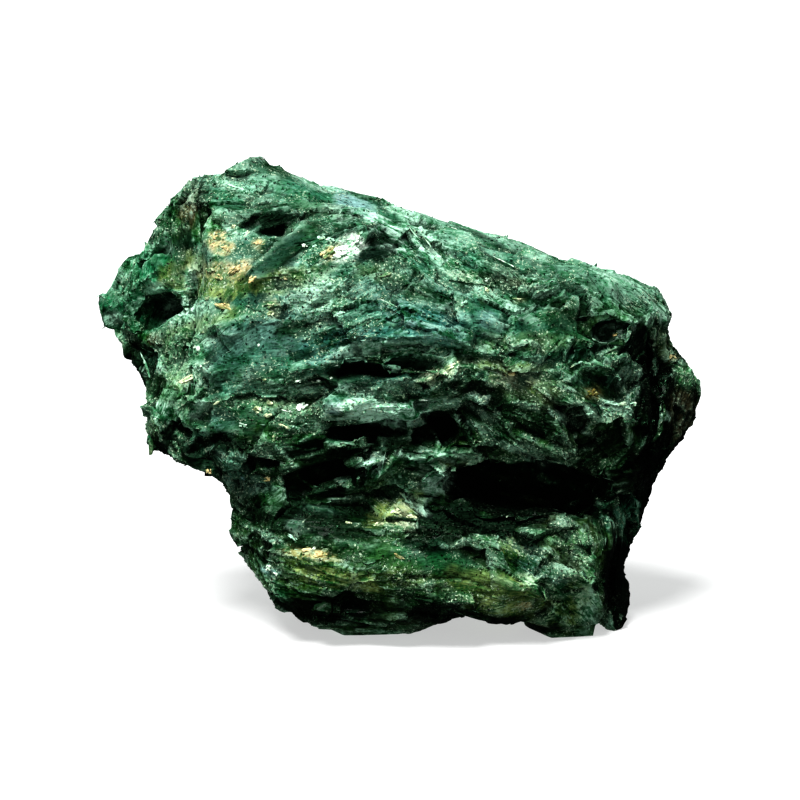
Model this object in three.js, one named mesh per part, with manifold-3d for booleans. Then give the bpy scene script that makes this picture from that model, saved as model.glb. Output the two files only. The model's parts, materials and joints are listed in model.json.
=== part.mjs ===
// A rough piece of green tourmaline, broken from a bladed and fibrous mass.
// The stone is one solid. Broad lobes give its outline, long flat blades lie on its faces in
// sheaves, angular grains roughen its broken ends, and wedge-shaped hollows are broken out of it.
// Millimetres, +Z up, +X along the stone and -Y towards its bladed front.

import * as THREE from "three";
import { ConvexGeometry } from "three/addons/geometries/ConvexGeometry.js";
import { mergeVertices } from "three/addons/utils/BufferGeometryUtils.js";
import Module from "manifold-3d";

// Driving dimensions, in mm
const stoneLength = 60;
const stoneDepth = 36;
const stoneHeight = 48;
const leastSize = 0.65; // the smallest a repeated blade or grain is, as a share of the middling one
const sizeRange = 0.7; // how much bigger than that the biggest one is
const bladeLean = 0.3; // how far a blade's top face leans to one side, as a share of its width
const bladeTurn = 0.28; // how far blades are turned off their run, in radians
const leastRoll = 0.04; // how far a blade is at least rolled, to turn its top face up, in radians
const bladeRoll = 0.4; // how much more it may be rolled, in radians
const topShare = 0.5; // the width of a blade's top face, as a share of the blade's width
const sheafRise = 0.42; // the share of a sheaf blade's thickness that stands up
const endSlant = 0.18; // how far a blade's ends slant, as a share of its length
const endBevel = 0.08; // how far the top of an end lies back, as a share of the blade's length
const steepest = 0.5; // the steepest a blade may dip into the stone, as a sine
const grainCorners = 10;
const grainFlatness = 0.7; // a grain's thickness as a share of its breadth
const grainRise = -0.1; // how far a grain stands out of the surface, as a share of its size
const coreEdge = 7; // the longest edge of the lobes before they are made uneven
const waves = [{ scale: 7, height: 0.9 }, { scale: 3.4, height: 0.5 }]; // unevenness of the lobes
const hollowRise = 0.35; // share of a hollow's depth that its cutter stands above the surface
const hollowMouth = 1.1; // the mouth of a hollow, as a share of its stated length and width
const hollowFoot = 0.62; // the foot of a hollow, as a share of the same
const hollowRim = [
  [-0.5, -0.1], [-0.36, 0.46], [0.1, 0.52], [0.4, 0.4], [0.5, -0.06], [0.32, -0.5], [-0.2, -0.46],
]; // the rim of a hollow of length and width 1
const finest = 0.1; // the finest detail that is kept
const castDistance = 60; // from where a blade is dropped onto the stone

const wasm = await Module();
wasm.setup();

// Places are given in per cent of the stone: x and y from its middle, z from its base.
const at = (x, y, z) =>
  new THREE.Vector3((x * stoneLength) / 100, (y * stoneDepth) / 100, (z * stoneHeight) / 100);

// The broad lobes that the outline is built from, as corners in per cent.
const lobes = {
  upperMass: [
    [-33, -10, 91], [-29, -6, 93.5], [-15, 0, 92], [0, 2, 88.5], [13, 3, 81.2], [27, 4, 75.5],
    [36, 0, 74], [40, 2, 71.5],
    [-32, -27, 80], [-22, -34, 78], [-10, -35, 80], [8, -39, 70], [20, -34, 71], [30, -35, 64], [40, -22, 66],
    [-36, -24, 48], [-24, -37, 56], [-6, -39, 52], [12, -41, 54], [24, -38, 48], [39, -26, 46],
    [-30, 26, 82], [0, 36, 76], [28, 30, 67], [-34, 34, 50], [4, 45, 48], [36, 30, 46],
  ],
  middleMass: [
    [-35, -22, 56], [-26, -32, 58], [0, -35, 58], [24, -34, 56], [38, -22, 54], [39, 2, 56], [40, 2, 32],
    [-34, -27, 40], [-22, -36, 42], [0, -38.5, 44], [14, -37, 46], [24, -36, 46], [39, -24, 42],
    [-31, -24, 34], [-18, -30, 32], [-4, -30, 30], [6, -24, 30], [36, -16, 26], [-36, 6, 38],
    [-30, 30, 54], [6, 42, 54], [36, 26, 52], [36, 28, 32], [-22, 34, 24], [10, 40, 20], [30, 28, 16],
  ],
  crownKnob: [
    [-31, -8, 92], [-27, -4, 96.5], [-25, -2, 98.2], [-23.5, 0, 97.8], [-20.5, 2, 96], [-12, 3, 92.2],
    [-23, -14, 89], [-14, -12, 89], [-25, 14, 92], [-16, 16, 90], [-20, 4, 86],
  ],
  leftShoulder: [
    [-41.2, 6, 80], [-40.8, 4, 84], [-39, 4, 87.4], [-35.8, 2, 91.8], [-32.4, 2, 94.6], [-28, 8, 93],
    [-37.5, -11, 80], [-34, -10, 88], [-32, 26, 82], [-36, 24, 74], [-42, 10, 72], [-38, -12, 66],
    [-30, 0, 66], [-28, 24, 66],
  ],
  leftLobe: [
    [-50, 6, 64.8], [-49.6, 4, 68], [-46.4, 8, 73.8], [-41, 8, 76.5], [-46.8, 2, 57.6], [-44.4, -2, 52],
    [-39, -13, 62], [-39, -11, 74], [-38, 24, 74], [-42, 22, 60], [-36, 28, 50], [-30, -16, 60],
    [-32, 26, 70], [-36, -6, 48],
  ],
  lowerLeftBlock: [
    [-42, -8, 36.6], [-43.2, -6, 44], [-42.6, -4, 48.6], [-44.2, -2, 53], [-37, -12, 34.9], [-33, -22, 32.6],
    [-29, -28, 31], [-41, -4, 58], [-36, -25, 52], [-26, -33, 54], [-33, 8, 34], [-37, 14, 46], [-36, 20, 60],
    [-24, 6, 30],
  ],
  rightShoulder: [
    [45, 2, 57.6], [45, 2, 64], [43.8, 2, 67.6], [40, 0, 71.8], [40, -18, 66], [39.6, -21, 52], [41, 20, 64],
    [30, 0, 68], [30, 20, 62], [32, -16, 48], [38, 20, 46],
  ],
  rightBulge: [
    [45.4, 2, 57], [50.3, 6, 50], [49.9, 6, 43.6], [46.8, 6, 35], [44.4, 4, 31], [42.8, 2, 26], [41, 4, 20],
    [44, -10, 54], [39, -22, 42], [38, -16, 29], [42, 22, 56], [40, 26, 40], [34, 4, 18], [32, 0, 52],
  ],
  ledgeLeft: [
    [-28, -16, 31], [-28.2, -20, 23.4], [-25.2, -24, 15.4], [-23, -28, 9], [-14.4, -29, 3.4], [-8, -28, 2.2],
    [1, -27, 2], [3, -26, 3.4], [12, -24, 6], [-21, -38, 23], [-6, -45, 20], [8, -43, 21],
    [-18, -40, 13], [0, -42, 8], [-22, -28, 33], [-8, -31, 30], [8, -30, 29],
    [-24, 24, 24], [-20, 26, 6], [4, 34, 22], [4, 30, 3], [-20, 0, 3],
  ],
  ledgeRight: [
    [2, -44, 20], [2, -38, 9], [14, -34, 5.8], [24, -29, 3], [32, -25, 2.6], [33, -25.5, 8], [33.6, -26, 18],
    [37, -4, 24], [37.8, 0, 10], [20, -42, 15], [31, -32, 12], [12, -33, 26], [27, -30, 26], [8, -28, 31],
    [28, -24, 30], [36, -14, 28], [4, 34, 22], [30, 28, 20], [33, 22, 5], [12, 30, 4], [20, 0, 2.6],
  ],
  rightFoot: [
    [34.5, -18, 4], [35.4, -17, -1], [37.2, -14, -0.4], [38.4, -8, 4], [38.8, -4, 11], [37.8, 2, 17],
    [41.6, 4, 27], [36, 10, 24], [30, -8, 12], [34, 12, -1], [30, -4, -1], [36.8, 2, -1], [28, 18, 16],
  ],
  frontFoot: [
    [-13.4, -26, 3.4], [-9, -21, -1], [-0.6, -20, -1], [2, -22, 4], [0, -6, -1], [-12, -6, -1], [-4, -2, 6],
    [-16, -12, 4],
  ],
  cornerFoot: [
    [21, -27, 4], [25, -24, -1], [31.6, -22, -1], [32.8, -18, 4], [31, -6, -1], [22, -8, -1], [26, -2, 6],
    [18, -14, 5],
  ],
  backFoot: [
    [-18, 18, 4], [-15, 16, -1], [8, 14, -1], [12, 18, 4], [6, 28, -1], [-12, 27, -1], [-2, 34, 6],
    [-4, 10, 6],
  ],
};

// The blades that can be told apart on the bladed side, face by face. `level` is how far back they
// are looked for, in per cent of the depth. A blade is the place of its two ends (x and z in per
// cent), then its width and thickness in mm and the share of its thickness that stands up.
const keyBlades = {
  face: {
    level: -36,
    out: [0, -0.96, 0.28],
    blades: [
      [-29, 78, -2, 86, 2.6, 2.6, 0.5], [-32, 64, -14, 68, 3.6, 2.8, 0.45], [-36, 57, -10, 61, 3, 2.6, 0.5],
      [-38, 51, -15, 53, 2.6, 2.4, 0.45], [-19, 74, -8, 73, 3.8, 2.4, 0.4], [-5, 72, 12, 61, 2.6, 2.6, 0.55],
      [-3, 76, 16, 66, 2, 2, 0.45], [-13, 65, 11, 62, 2.8, 2.8, 0.6], [-14, 50, 5, 49, 2.8, 2.6, 0.6],
      [5, 76, 17, 73, 1.6, 1.6, 0.45], [16, 73, 27, 75, 1.6, 1.6, 0.45], [24, 59, 39, 65, 2.2, 2.2, 0.5],
      [22, 54, 38, 60, 2, 2, 0.5], [20, 65, 38, 69, 2, 2, 0.45], [12, 57, 34, 49, 2.4, 2.2, 0.5],
      [10, 53, 30, 42, 2.2, 2.2, 0.5], [14, 61, 37, 57, 2, 2, 0.45], [12, 48, 28, 40, 2.2, 2, 0.45],
      [-37, 45, -15, 48, 2.8, 2.4, 0.5], [-32, 40, -10, 44, 2.6, 2.4, 0.5], [-27, 36, -7, 40, 2.4, 2.2, 0.45],
      [-13, 41, 2, 47, 2.2, 2.2, 0.5], [-11, 36, 7, 42, 2.2, 2.2, 0.5], [-18, 33, 0, 37, 2.2, 2, 0.45],
      [-34, 73, -20, 70, 2.8, 2.2, 0.45], [-9, 58, 12, 55, 2.2, 2.2, 0.45], [0, 70, 22, 64, 2.2, 2, 0.45],
      [-27, 75, -12, 78, 2, 2, 0.45], [26, 52, 39, 48, 2.2, 2, 0.45], [-36, 68, -24, 67, 2.6, 2.2, 0.45],
      [-14, 69, 0, 67, 2.4, 2.2, 0.45], [4, 66, 24, 61, 2.2, 2, 0.45], [-22, 56, -2, 57, 2.4, 2.2, 0.45],
      [8, 81, 30, 71, 2.2, 2, 0.45], [-34, 61, -22, 63, 2.2, 2, 0.4], [27, 69, 39, 66, 2, 1.8, 0.45],
    ],
  },
  topBand: {
    level: -18,
    out: [0, -0.62, 0.78],
    blades: [
      [-14, 90, -1, 85, 2.2, 2, 0.5], [-32, 89, -12, 87, 2.4, 2, 0.45], [-31, 84, -14, 82, 2.2, 2, 0.45],
      [-1, 87, 5, 77, 2, 1.8, 0.5], [4, 85, 11, 77, 2, 1.8, 0.5], [6, 84, 27, 73, 2.2, 2, 0.5],
      [11, 80, 34, 70, 2.2, 2, 0.45], [16, 80, 37, 72, 2, 2, 0.45], [-12, 84, 3, 80, 2.2, 1.8, 0.45],
      [-26, 92, -6, 90, 2, 1.8, 0.4], [-6, 89, 14, 81, 2.2, 1.8, 0.4], [-22, 87, -4, 86, 2, 1.8, 0.4],
      [-31, 86, -20, 84, 2, 1.8, 0.4], [20, 76, 38, 69, 2.2, 1.8, 0.45], [2, 81, 14, 76, 1.8, 1.8, 0.45],
    ],
  },
  ledge: {
    level: -38,
    out: [0, -0.85, 0.52],
    blades: [
      [-27, 30, -10, 27, 2.8, 2.4, 0.5], [-26, 24, -3, 21, 2.8, 2.4, 0.5], [-18, 18, 4, 15, 2.6, 2.4, 0.5],
      [-8, 27, 13, 22, 2.8, 2.4, 0.5], [2, 19, 25, 12, 2.6, 2.4, 0.5], [10, 24, 32, 15, 2.4, 2.2, 0.5],
      [18, 25, 33, 11, 2.4, 2.2, 0.5], [5, 12, 27, 7, 2.4, 2, 0.5], [-16, 10, 1, 8, 2.6, 2, 0.4],
      [-23, 15, -7, 11, 2.4, 2, 0.45], [14, 28, 33, 23, 2.4, 2, 0.45], [-21, 27, -1, 24, 2.2, 2, 0.45],
      [-4, 13, 14, 9, 2.2, 2, 0.45], [23, 18, 33, 6, 2, 1.8, 0.45], [-14, 22, 6, 18, 2.2, 2, 0.45],
      [0, 23, 20, 18, 2.2, 2, 0.45], [12, 18, 30, 9, 2.2, 2, 0.45], [-24, 20, -10, 17, 2.2, 2, 0.45],
    ],
  },
};

// Sheaves of blades on the other faces. Each is centred over `at` (per cent), faces `out`, and its
// blades run `along`. `spread` is how far the blades' middles reach along and across, and `blade` is
// the length, width and thickness of the middling one, all in mm.
const sheaves = {
  leftEdge: {
    at: [-37, -20, 44], out: [-0.6, -0.8, 0], along: [0.1, -0.1, 1],
    spread: [6, 5], blades: 4, blade: [7, 2, 1.8],
  },
  leftFace: {
    at: [-44, -2, 70], out: [-0.86, -0.5, 0.1], along: [0.5, -0.5, 0.7],
    spread: [6, 5], blades: 5, blade: [6, 2.4, 1.8],
  },
  leftTop: {
    at: [-36, 12, 86], out: [-0.6, 0.1, 0.8], along: [0.8, 0.1, 0.55],
    spread: [7, 8], blades: 4, blade: [7, 2.6, 2],
  },
  topBack: {
    at: [0, 22, 82], out: [0, 0.5, 0.87], along: [0.97, 0.1, -0.24],
    spread: [28, 11], blades: 11, blade: [16, 3, 2.4],
  },
  backUpper: {
    at: [-6, 42, 62], out: [0, 0.98, 0.2], along: [0.98, 0, 0.16],
    spread: [30, 12], blades: 12, blade: [18, 3.2, 2.6],
  },
  backMiddle: {
    at: [8, 44, 40], out: [0.05, 0.98, -0.1], along: [0.95, 0, -0.3],
    spread: [30, 10], blades: 9, blade: [16, 3.2, 2.6],
  },
  backLower: {
    at: [4, 34, 18], out: [0, 0.9, -0.42], along: [0.97, 0, 0.18],
    spread: [24, 7], blades: 7, blade: [13, 3, 2.4],
  },
};

// Angular grains on the broken ends: where they lie (per cent), the way they face, how far they
// spread in mm, how many there are and how big they are in mm.
const grainPatches = {
  rightUpper: { at: [44, 0, 58], out: [0.96, -0.2, 0.2], spread: [10, 14], grains: 8, size: 5.4 },
  rightLower: { at: [46, 2, 38], out: [0.96, -0.2, -0.2], spread: [10, 12], grains: 7, size: 5.4 },
  rightBase: { at: [39, 0, 14], out: [0.96, -0.26, 0], spread: [9, 9], grains: 5, size: 3.4 },
  leftUpper: { at: [-40, 6, 82], out: [-0.9, -0.2, 0.4], spread: [8, 9], grains: 5, size: 4.4 },
  leftEnd: { at: [-46, 12, 60], out: [-0.97, 0, -0.1], spread: [12, 10], grains: 7, size: 4.6 },
  leftBlock: { at: [-42, -4, 44], out: [-0.95, -0.3, -0.1], spread: [6, 9], grains: 5, size: 4.2 },
  ledgeEnd: { at: [-27, -6, 18], out: [-0.98, -0.2, 0], spread: [9, 12], grains: 6, size: 4 },
  crown: { at: [-25, 1, 95], out: [-0.2, -0.2, 0.96], spread: [6, 5], grains: 4, size: 2.4 },
};

// Hollows that are broken out: the middle (per cent), the way they open, the way they run, and
// their length, width and depth in mm.
const hollows = {
  greatRecess: { at: [20, -36, 31], out: [0.05, -1, -0.1], along: [1, 0, -0.12], size: [19, 5.6, 4.2] },
  bladeStep: { at: [-3, -40, 57.6], out: [0, -1, 0], along: [1, 0, 0.08], size: [13, 1.8, 2.4] },
  brightBladeStep: { at: [-5, -40, 44], out: [0, -1, -0.1], along: [1, 0, 0.02], size: [12, 2.4, 2.2] },
  centrePit: { at: [4.5, -40, 44], out: [0, -1, 0], along: [0.9, 0, 0.4], size: [5.5, 3.4, 3] },
  lowPit: { at: [-10, -36, 36], out: [0, -1, 0], along: [1, 0, 0.2], size: [9, 2, 2] },
  frontCrack: { at: [-35.5, -24, 80], out: [-0.5, -1, 0], along: [0.06, -0.2, 1], size: [11, 1.4, 3.2] },
  leftHollow: { at: [-42, -12, 66], out: [-0.6, -1, 0], along: [0.85, -0.3, 0.45], size: [7, 3.4, 4] },
  blockHollow: { at: [-36, -26, 43.5], out: [-0.3, -1, 0], along: [0.4, 0, 1], size: [3.4, 3, 2.6] },
  crownPit: { at: [-21, -28, 85], out: [0, -1, 0.4], along: [1, 0, 0.2], size: [4, 1.6, 1.8] },
  endCrack: { at: [41.5, -20, 52], out: [0.5, -1, 0], along: [-0.1, 0.1, 1], size: [14, 2.2, 3.4] },
  shoulderHollow: { at: [32, -32, 65], out: [0, -1, 0.1], along: [1, 0, -0.06], size: [7, 2, 1.4] },
  footNotch: { at: [32.8, -14, 0], out: [0.1, -1, -0.4], along: [0, 0.3, 1], size: [3, 1, 4] },
  undercut: { at: [-31, -24, 31], out: [-0.6, -0.7, -0.6], along: [0.8, -0.5, 0], size: [7, 3, 2] },
  backStep: { at: [2, 44, 55], out: [0, 1, 0], along: [1, 0, -0.1], size: [22, 2, 2.2] },
  backHollow: { at: [-16, 38, 34], out: [0, 1, -0.2], along: [1, 0, 0.25], size: [13, 4, 3] },
  backPit: { at: [24, 38, 52], out: [0.2, 1, 0.1], along: [0.8, 0, -0.6], size: [7, 3, 2.4] },
};

// A repeatable stream of numbers from 0 to 1.
function randomStream(seed) {
  let state = seed;
  return () => {
    state = (state + 0x6d2b79f5) | 0;
    let mixed = Math.imul(state ^ (state >>> 15), 1 | state);
    mixed = (mixed + Math.imul(mixed ^ (mixed >>> 7), 61 | mixed)) ^ mixed;
    return ((mixed ^ (mixed >>> 14)) >>> 0) / 4294967296;
  };
}

// A closed three.js geometry as a manifold solid.
function solidOf(geometry) {
  const bare = geometry.clone();
  bare.deleteAttribute("normal");
  bare.deleteAttribute("uv");
  const merged = mergeVertices(bare, 1e-4);
  return new wasm.Manifold(
    new wasm.Mesh({
      numProp: 3,
      vertProperties: new Float32Array(merged.attributes.position.array),
      triVerts: new Uint32Array(merged.index.array),
    }),
  );
}

// A manifold solid as a three.js geometry.
function geometryOf(solid) {
  const mesh = solid.getMesh();
  const geometry = new THREE.BufferGeometry();
  geometry.setAttribute("position", new THREE.BufferAttribute(new Float32Array(mesh.vertProperties), 3));
  geometry.setIndex(new THREE.BufferAttribute(new Uint32Array(mesh.triVerts), 1));
  geometry.computeVertexNormals();
  return geometry;
}

const join = (solids) => solids.reduce((whole, solid) => whole.add(solid));

// The stone without loose crumbs and closed bubbles.
const biggestBody = (solid) =>
  solid.decompose().reduce((big, body) => (body.volume() > big.volume() ? body : big));

// The turn that carries X to `along`, laid square to `out`, and Z to `out`.
function layOn(along, out) {
  const up = new THREE.Vector3(...out).normalize();
  const run = new THREE.Vector3(...along);
  run.addScaledVector(up, -run.dot(up)).normalize();
  const side = new THREE.Vector3().crossVectors(up, run);
  return new THREE.Matrix4().makeBasis(run, side, up);
}

// Smooth repeatable noise from -1 to 1 at a point, by blending a value for each corner of its cell.
function noiseAt(x, y, z, seed) {
  const value = (i, j, k) => {
    const mixed = Math.imul(i * 374761393 + j * 668265263 + k * 1274126177 + seed * 974634777, 1103515245);
    return ((mixed ^ (mixed >>> 15)) >>> 0) / 2147483648 - 1;
  };
  const cell = [x, y, z].map(Math.floor);
  const [u, v, w] = [x, y, z].map((place, i) => THREE.MathUtils.smoothstep(place - cell[i], 0, 1));
  const { lerp } = THREE.MathUtils;
  const [i, j, k] = cell;
  const row = (dj, dk) => lerp(value(i, j + dj, k + dk), value(i + 1, j + dj, k + dk), u);
  return lerp(lerp(row(0, 0), row(1, 0), v), lerp(row(0, 1), row(1, 1), v), w);
}

// The lobes with their broad flat faces made uneven.
const roughen = (solid) =>
  solid.refineToLength(coreEdge).warp((corner) => {
    const [x, y, z] = corner;
    for (const { scale, height } of waves)
      for (const axis of [0, 1, 2])
        corner[axis] += height * noiseAt(x / scale, y / scale, z / scale, axis + 1);
  });

// Where a line dropped against `out` onto the stone meets it, or null beside the stone.
function dropOnto(target, point, out) {
  const down = out.clone().negate();
  const caster = new THREE.Raycaster(point.clone().addScaledVector(out, castDistance), down);
  const [hit] = caster.intersectObject(target);
  return hit ? hit.point : null;
}

// A flat blade along X, bevelled all round and broken off aslant at both ends.
function bladeGeometry([length, width, thickness], random) {
  const lean = bladeLean * (random() - 0.5);
  const slants = [0, 1, 2, 3].map(() => endSlant * random());
  const layers = [
    { z: 0.5, y: topShare / 2, shift: lean, inset: endBevel },
    { z: -0.5, y: 0.5, shift: 0, inset: 0 },
  ];
  const points = layers.flatMap(({ z, y, shift, inset }) =>
    [
      [-0.5 + slants[0] + inset, shift - y], [-0.5 + slants[1] + inset, shift + y],
      [0.5 - slants[2] - inset, shift + y], [0.5 - slants[3] - inset, shift - y],
    ].map(([x, across]) => new THREE.Vector3(x * length, across * width, z * thickness)),
  );
  return new ConvexGeometry(points);
}

// A blade laid along the surface from `tail` to `head`, or null if it would dip in too steeply.
function layBlade(tail, head, out, [length, width, thickness], rise, random) {
  const blade = bladeGeometry([length, width, thickness], random);
  const roll = leastRoll + bladeRoll * random();
  if (!tail || !head) return null;
  const run = head.clone().sub(tail);
  if (Math.abs(run.dot(out)) > steepest * run.length()) return null;
  const seat = tail.clone().lerp(head, 0.5).addScaledVector(out, (rise - 0.5) * thickness);
  const upward = Math.sign(new THREE.Vector3().crossVectors(out, run).z);
  blade.rotateX(-upward * roll).applyMatrix4(layOn(run.toArray(), out.toArray()));
  return blade.translate(seat.x, seat.y, seat.z);
}

// The blades of one face, each between its two stated ends.
function bladesOfFace({ level, out: facing, blades }, target, random) {
  const out = new THREE.Vector3(...facing).normalize();
  return blades.map(([x1, z1, x2, z2, width, thickness, rise]) => {
    const ends = [at(x1, level, z1), at(x2, level, z2)].map((end) => dropOnto(target, end, out));
    const length = at(x1, 0, z1).distanceTo(at(x2, 0, z2));
    return layBlade(...ends, out, [length, width, thickness], rise, random);
  });
}

// One sheaf: blades laid side by side, each turned a little off the run.
function bladesOfSheaf(sheaf, target, random) {
  const turn = layOn(sheaf.along, sheaf.out);
  const out = new THREE.Vector3(...sheaf.out).normalize();
  return Array.from({ length: sheaf.blades }, (_, i) => {
    const across = (i / (sheaf.blades - 1) - 0.5) * sheaf.spread[1];
    const middle = (random() - 0.5) * sheaf.spread[0];
    const size = sheaf.blade.map((mm) => mm * (leastSize + sizeRange * random()));
    const turned = bladeTurn * (random() - 0.5);
    const ends = [-0.5, 0.5].map((share) => {
      const reach = share * size[0];
      const offset = new THREE.Vector3(
        middle + reach * Math.cos(turned),
        across + reach * Math.sin(turned),
        0,
      );
      return dropOnto(target, at(...sheaf.at).add(offset.applyMatrix4(turn)), out);
    });
    return layBlade(...ends, out, size, sheafRise, random);
  });
}

// An angular grain: the hull of points scattered on a flattened ball.
function grainGeometry(size, random) {
  const points = Array.from({ length: grainCorners }, () => {
    const z = 2 * random() - 1;
    const angle = 2 * Math.PI * random();
    const ring = Math.sqrt(1 - z * z);
    return new THREE.Vector3(ring * Math.cos(angle), ring * Math.sin(angle), grainFlatness * z);
  });
  const grain = new ConvexGeometry(points);
  const [long, broad] = [0.4 + 0.25 * random(), 0.35 + 0.2 * random()];
  return grain.scale(size * long, size * broad, size / 2);
}

// One patch of grains, dropped at random places onto the stone.
function grainsOf(patch, target, random) {
  const turn = layOn([0.2, 0.3, 1], patch.out);
  const out = new THREE.Vector3(...patch.out).normalize();
  const made = [];
  for (let i = 0; i < patch.grains; i++) {
    const offset = new THREE.Vector3(
      (random() - 0.5) * patch.spread[0],
      (random() - 0.5) * patch.spread[1],
      0,
    );
    const seat = dropOnto(target, at(...patch.at).add(offset.applyMatrix4(turn)), out);
    const size = patch.size * (leastSize + sizeRange * random());
    const grain = grainGeometry(size, random).rotateZ(Math.PI * random());
    if (!seat) continue;
    seat.addScaledVector(out, grainRise * size);
    made.push(grain.applyMatrix4(turn).translate(seat.x, seat.y, seat.z));
  }
  return made;
}

// The cutter of one hollow: a wedge that is widest at the surface and ragged at its foot.
function hollowCutter({ at: middle, out: opens, along, size: [length, width, depth] }, target, random) {
  const out = new THREE.Vector3(...opens).normalize();
  const rise = hollowRise * depth;
  const ragged = () => 0.8 + 0.4 * random();
  const points = hollowRim.flatMap(([x, y]) => [
    new THREE.Vector3(x * length * hollowMouth, y * width * hollowMouth, rise),
    new THREE.Vector3(
      x * length * hollowFoot * ragged(),
      y * width * hollowFoot * ragged(),
      -depth * ragged(),
    ),
  ]);
  const seat = dropOnto(target, at(...middle), out);
  const cutter = new ConvexGeometry(points).applyMatrix4(layOn(along, opens));
  return solidOf(cutter.translate(seat.x, seat.y, seat.z));
}

// The whole stone, with its base cut flat where it rests and its frame under the middle of its base.
function stoneGeometry() {
  const core = roughen(
    join(
      Object.values(lobes).map((corners) =>
        solidOf(new ConvexGeometry(corners.map((corner) => at(...corner)))),
      ),
    ),
  );
  const target = new THREE.Mesh(geometryOf(core));
  const random = randomStream(20);
  const blades = [
    ...Object.values(keyBlades).flatMap((face) => bladesOfFace(face, target, random)),
    ...Object.values(sheaves).flatMap((sheaf) => bladesOfSheaf(sheaf, target, random)),
  ].filter(Boolean);
  const grains = Object.values(grainPatches).flatMap((patch) => grainsOf(patch, target, random));
  const cutters = Object.values(hollows).map((hollow) => hollowCutter(hollow, target, random));
  const aboveBase = new THREE.BoxGeometry(2 * stoneLength, 2 * stoneDepth, 2 * stoneHeight);
  aboveBase.translate(0, 0, stoneHeight);
  const stone = join([core, ...[...blades, ...grains].map(solidOf)])
    .subtract(join(cutters))
    .intersect(solidOf(aboveBase));
  const geometry = geometryOf(biggestBody(stone.simplify(finest)));
  geometry.computeBoundingBox();
  const middle = geometry.boundingBox.getCenter(new THREE.Vector3());
  return geometry.translate(-middle.x, -middle.y, -geometry.boundingBox.min.z);
}

const tourmalineGreen = new THREE.MeshStandardMaterial({ color: 0x1f4a3a, roughness: 0.45, metalness: 0 });

const stone = new THREE.Mesh(stoneGeometry(), tourmalineGreen);
stone.name = "tourmaline_stone";

const specimen = new THREE.Group();
specimen.add(stone);

export default specimen;
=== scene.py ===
import json
import math

import bmesh
import bpy
import numpy as np
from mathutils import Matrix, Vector
from mathutils.bvhtree import BVHTree

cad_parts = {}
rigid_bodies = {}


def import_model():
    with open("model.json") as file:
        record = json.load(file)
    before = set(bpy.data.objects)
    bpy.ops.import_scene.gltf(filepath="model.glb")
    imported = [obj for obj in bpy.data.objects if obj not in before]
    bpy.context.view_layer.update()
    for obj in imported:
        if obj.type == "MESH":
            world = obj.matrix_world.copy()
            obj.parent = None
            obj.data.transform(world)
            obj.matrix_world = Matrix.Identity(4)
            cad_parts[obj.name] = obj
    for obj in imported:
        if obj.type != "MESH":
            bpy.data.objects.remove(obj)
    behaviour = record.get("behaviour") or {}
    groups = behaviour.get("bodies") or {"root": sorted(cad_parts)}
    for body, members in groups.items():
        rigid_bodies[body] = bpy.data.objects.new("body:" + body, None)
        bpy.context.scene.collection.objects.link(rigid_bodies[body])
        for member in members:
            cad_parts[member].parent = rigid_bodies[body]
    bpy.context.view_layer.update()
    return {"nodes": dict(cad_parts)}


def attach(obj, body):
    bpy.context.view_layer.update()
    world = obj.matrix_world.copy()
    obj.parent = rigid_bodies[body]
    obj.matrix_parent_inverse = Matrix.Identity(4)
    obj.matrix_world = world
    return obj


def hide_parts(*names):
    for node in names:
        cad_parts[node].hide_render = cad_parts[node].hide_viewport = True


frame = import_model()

# A rough lump of green tourmaline: a broken bladed mass with loose splinters, needles and grains.
# Sizes below are in mm unless a note says otherwise; Blender's own units are metres.

mm = 0.001
stoneNode = "tourmaline_stone"
body = "root"

# The camera. Places on the front are given as seen from it: mm across and mm up from the aim.
look = {
    "elevation": 9.5,     # degrees above the horizon
    "distance": 300.0,
    "aim": (0.0, 0.0, 22.4),
    "lens": 135.0,
    "sensor": 36.0,
    "reach": (0.01, 20),  # metres, the nearest and the farthest
}
tilt = math.radians(look["elevation"])
viewRight = np.array([1.0, 0.0, 0.0])
viewUp = np.array([0.0, math.sin(tilt), math.cos(tilt)])
viewBack = np.array([0.0, -math.cos(tilt), math.sin(tilt)])
eye = np.array(look["aim"]) + viewBack * look["distance"]


# Small tools

# Large uneven numbers that scatter whole numbers evenly
chanceSteps = (12.9898, 78.233, 37.719, 4.581)
chanceSpread = 43758.5453


# Repeatable numbers from 0 to 1 for whole-number arrays
def chance(*ids):
    mixed = np.zeros(np.broadcast(*ids).shape if len(ids) > 1 else np.shape(ids[0]))
    for step, number in zip(chanceSteps, ids):
        mixed = mixed + np.asarray(number, float) * step
    return np.mod(np.abs(np.sin(mixed) * chanceSpread), 1.0)


# Smooth noise from -1 to 1, one value for each place, with bumps of the given size in mm
def softNoise(places, size, seed=0):
    scaled = places / size
    cell = np.floor(scaled)
    part = scaled - cell
    part = part * part * (3 - 2 * part)
    total = np.zeros(len(places))
    for dx in (0, 1):
        for dy in (0, 1):
            for dz in (0, 1):
                corner = chance(cell[:, 0] + dx, cell[:, 1] + dy, cell[:, 2] + dz, np.float64(seed + 1))
                share = np.where(dx, part[:, 0], 1 - part[:, 0])
                share = share * np.where(dy, part[:, 1], 1 - part[:, 1])
                share = share * np.where(dz, part[:, 2], 1 - part[:, 2])
                total += corner * share
    return 2 * total - 1


# Three of them at once, as a push on each place
def softPush(places, size, seeds):
    return np.stack([softNoise(places, size, seed) for seed in seeds], axis=1)


def unit(vectors):
    length = np.linalg.norm(vectors, axis=-1, keepdims=True)
    return vectors / np.maximum(length, 1e-9)


# 0 below low, 1 above high, smooth between
def ramp(values, low, high):
    share = np.clip((values - low) / (high - low), 0, 1)
    return share * share * (3 - 2 * share)


# Where places in mm are seen: mm across and mm up from the aim
def seenAt(places):
    away = places - eye
    depth = -(away @ viewBack)
    return (away @ viewRight) / depth * look["distance"], (away @ viewUp) / depth * look["distance"]


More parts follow.
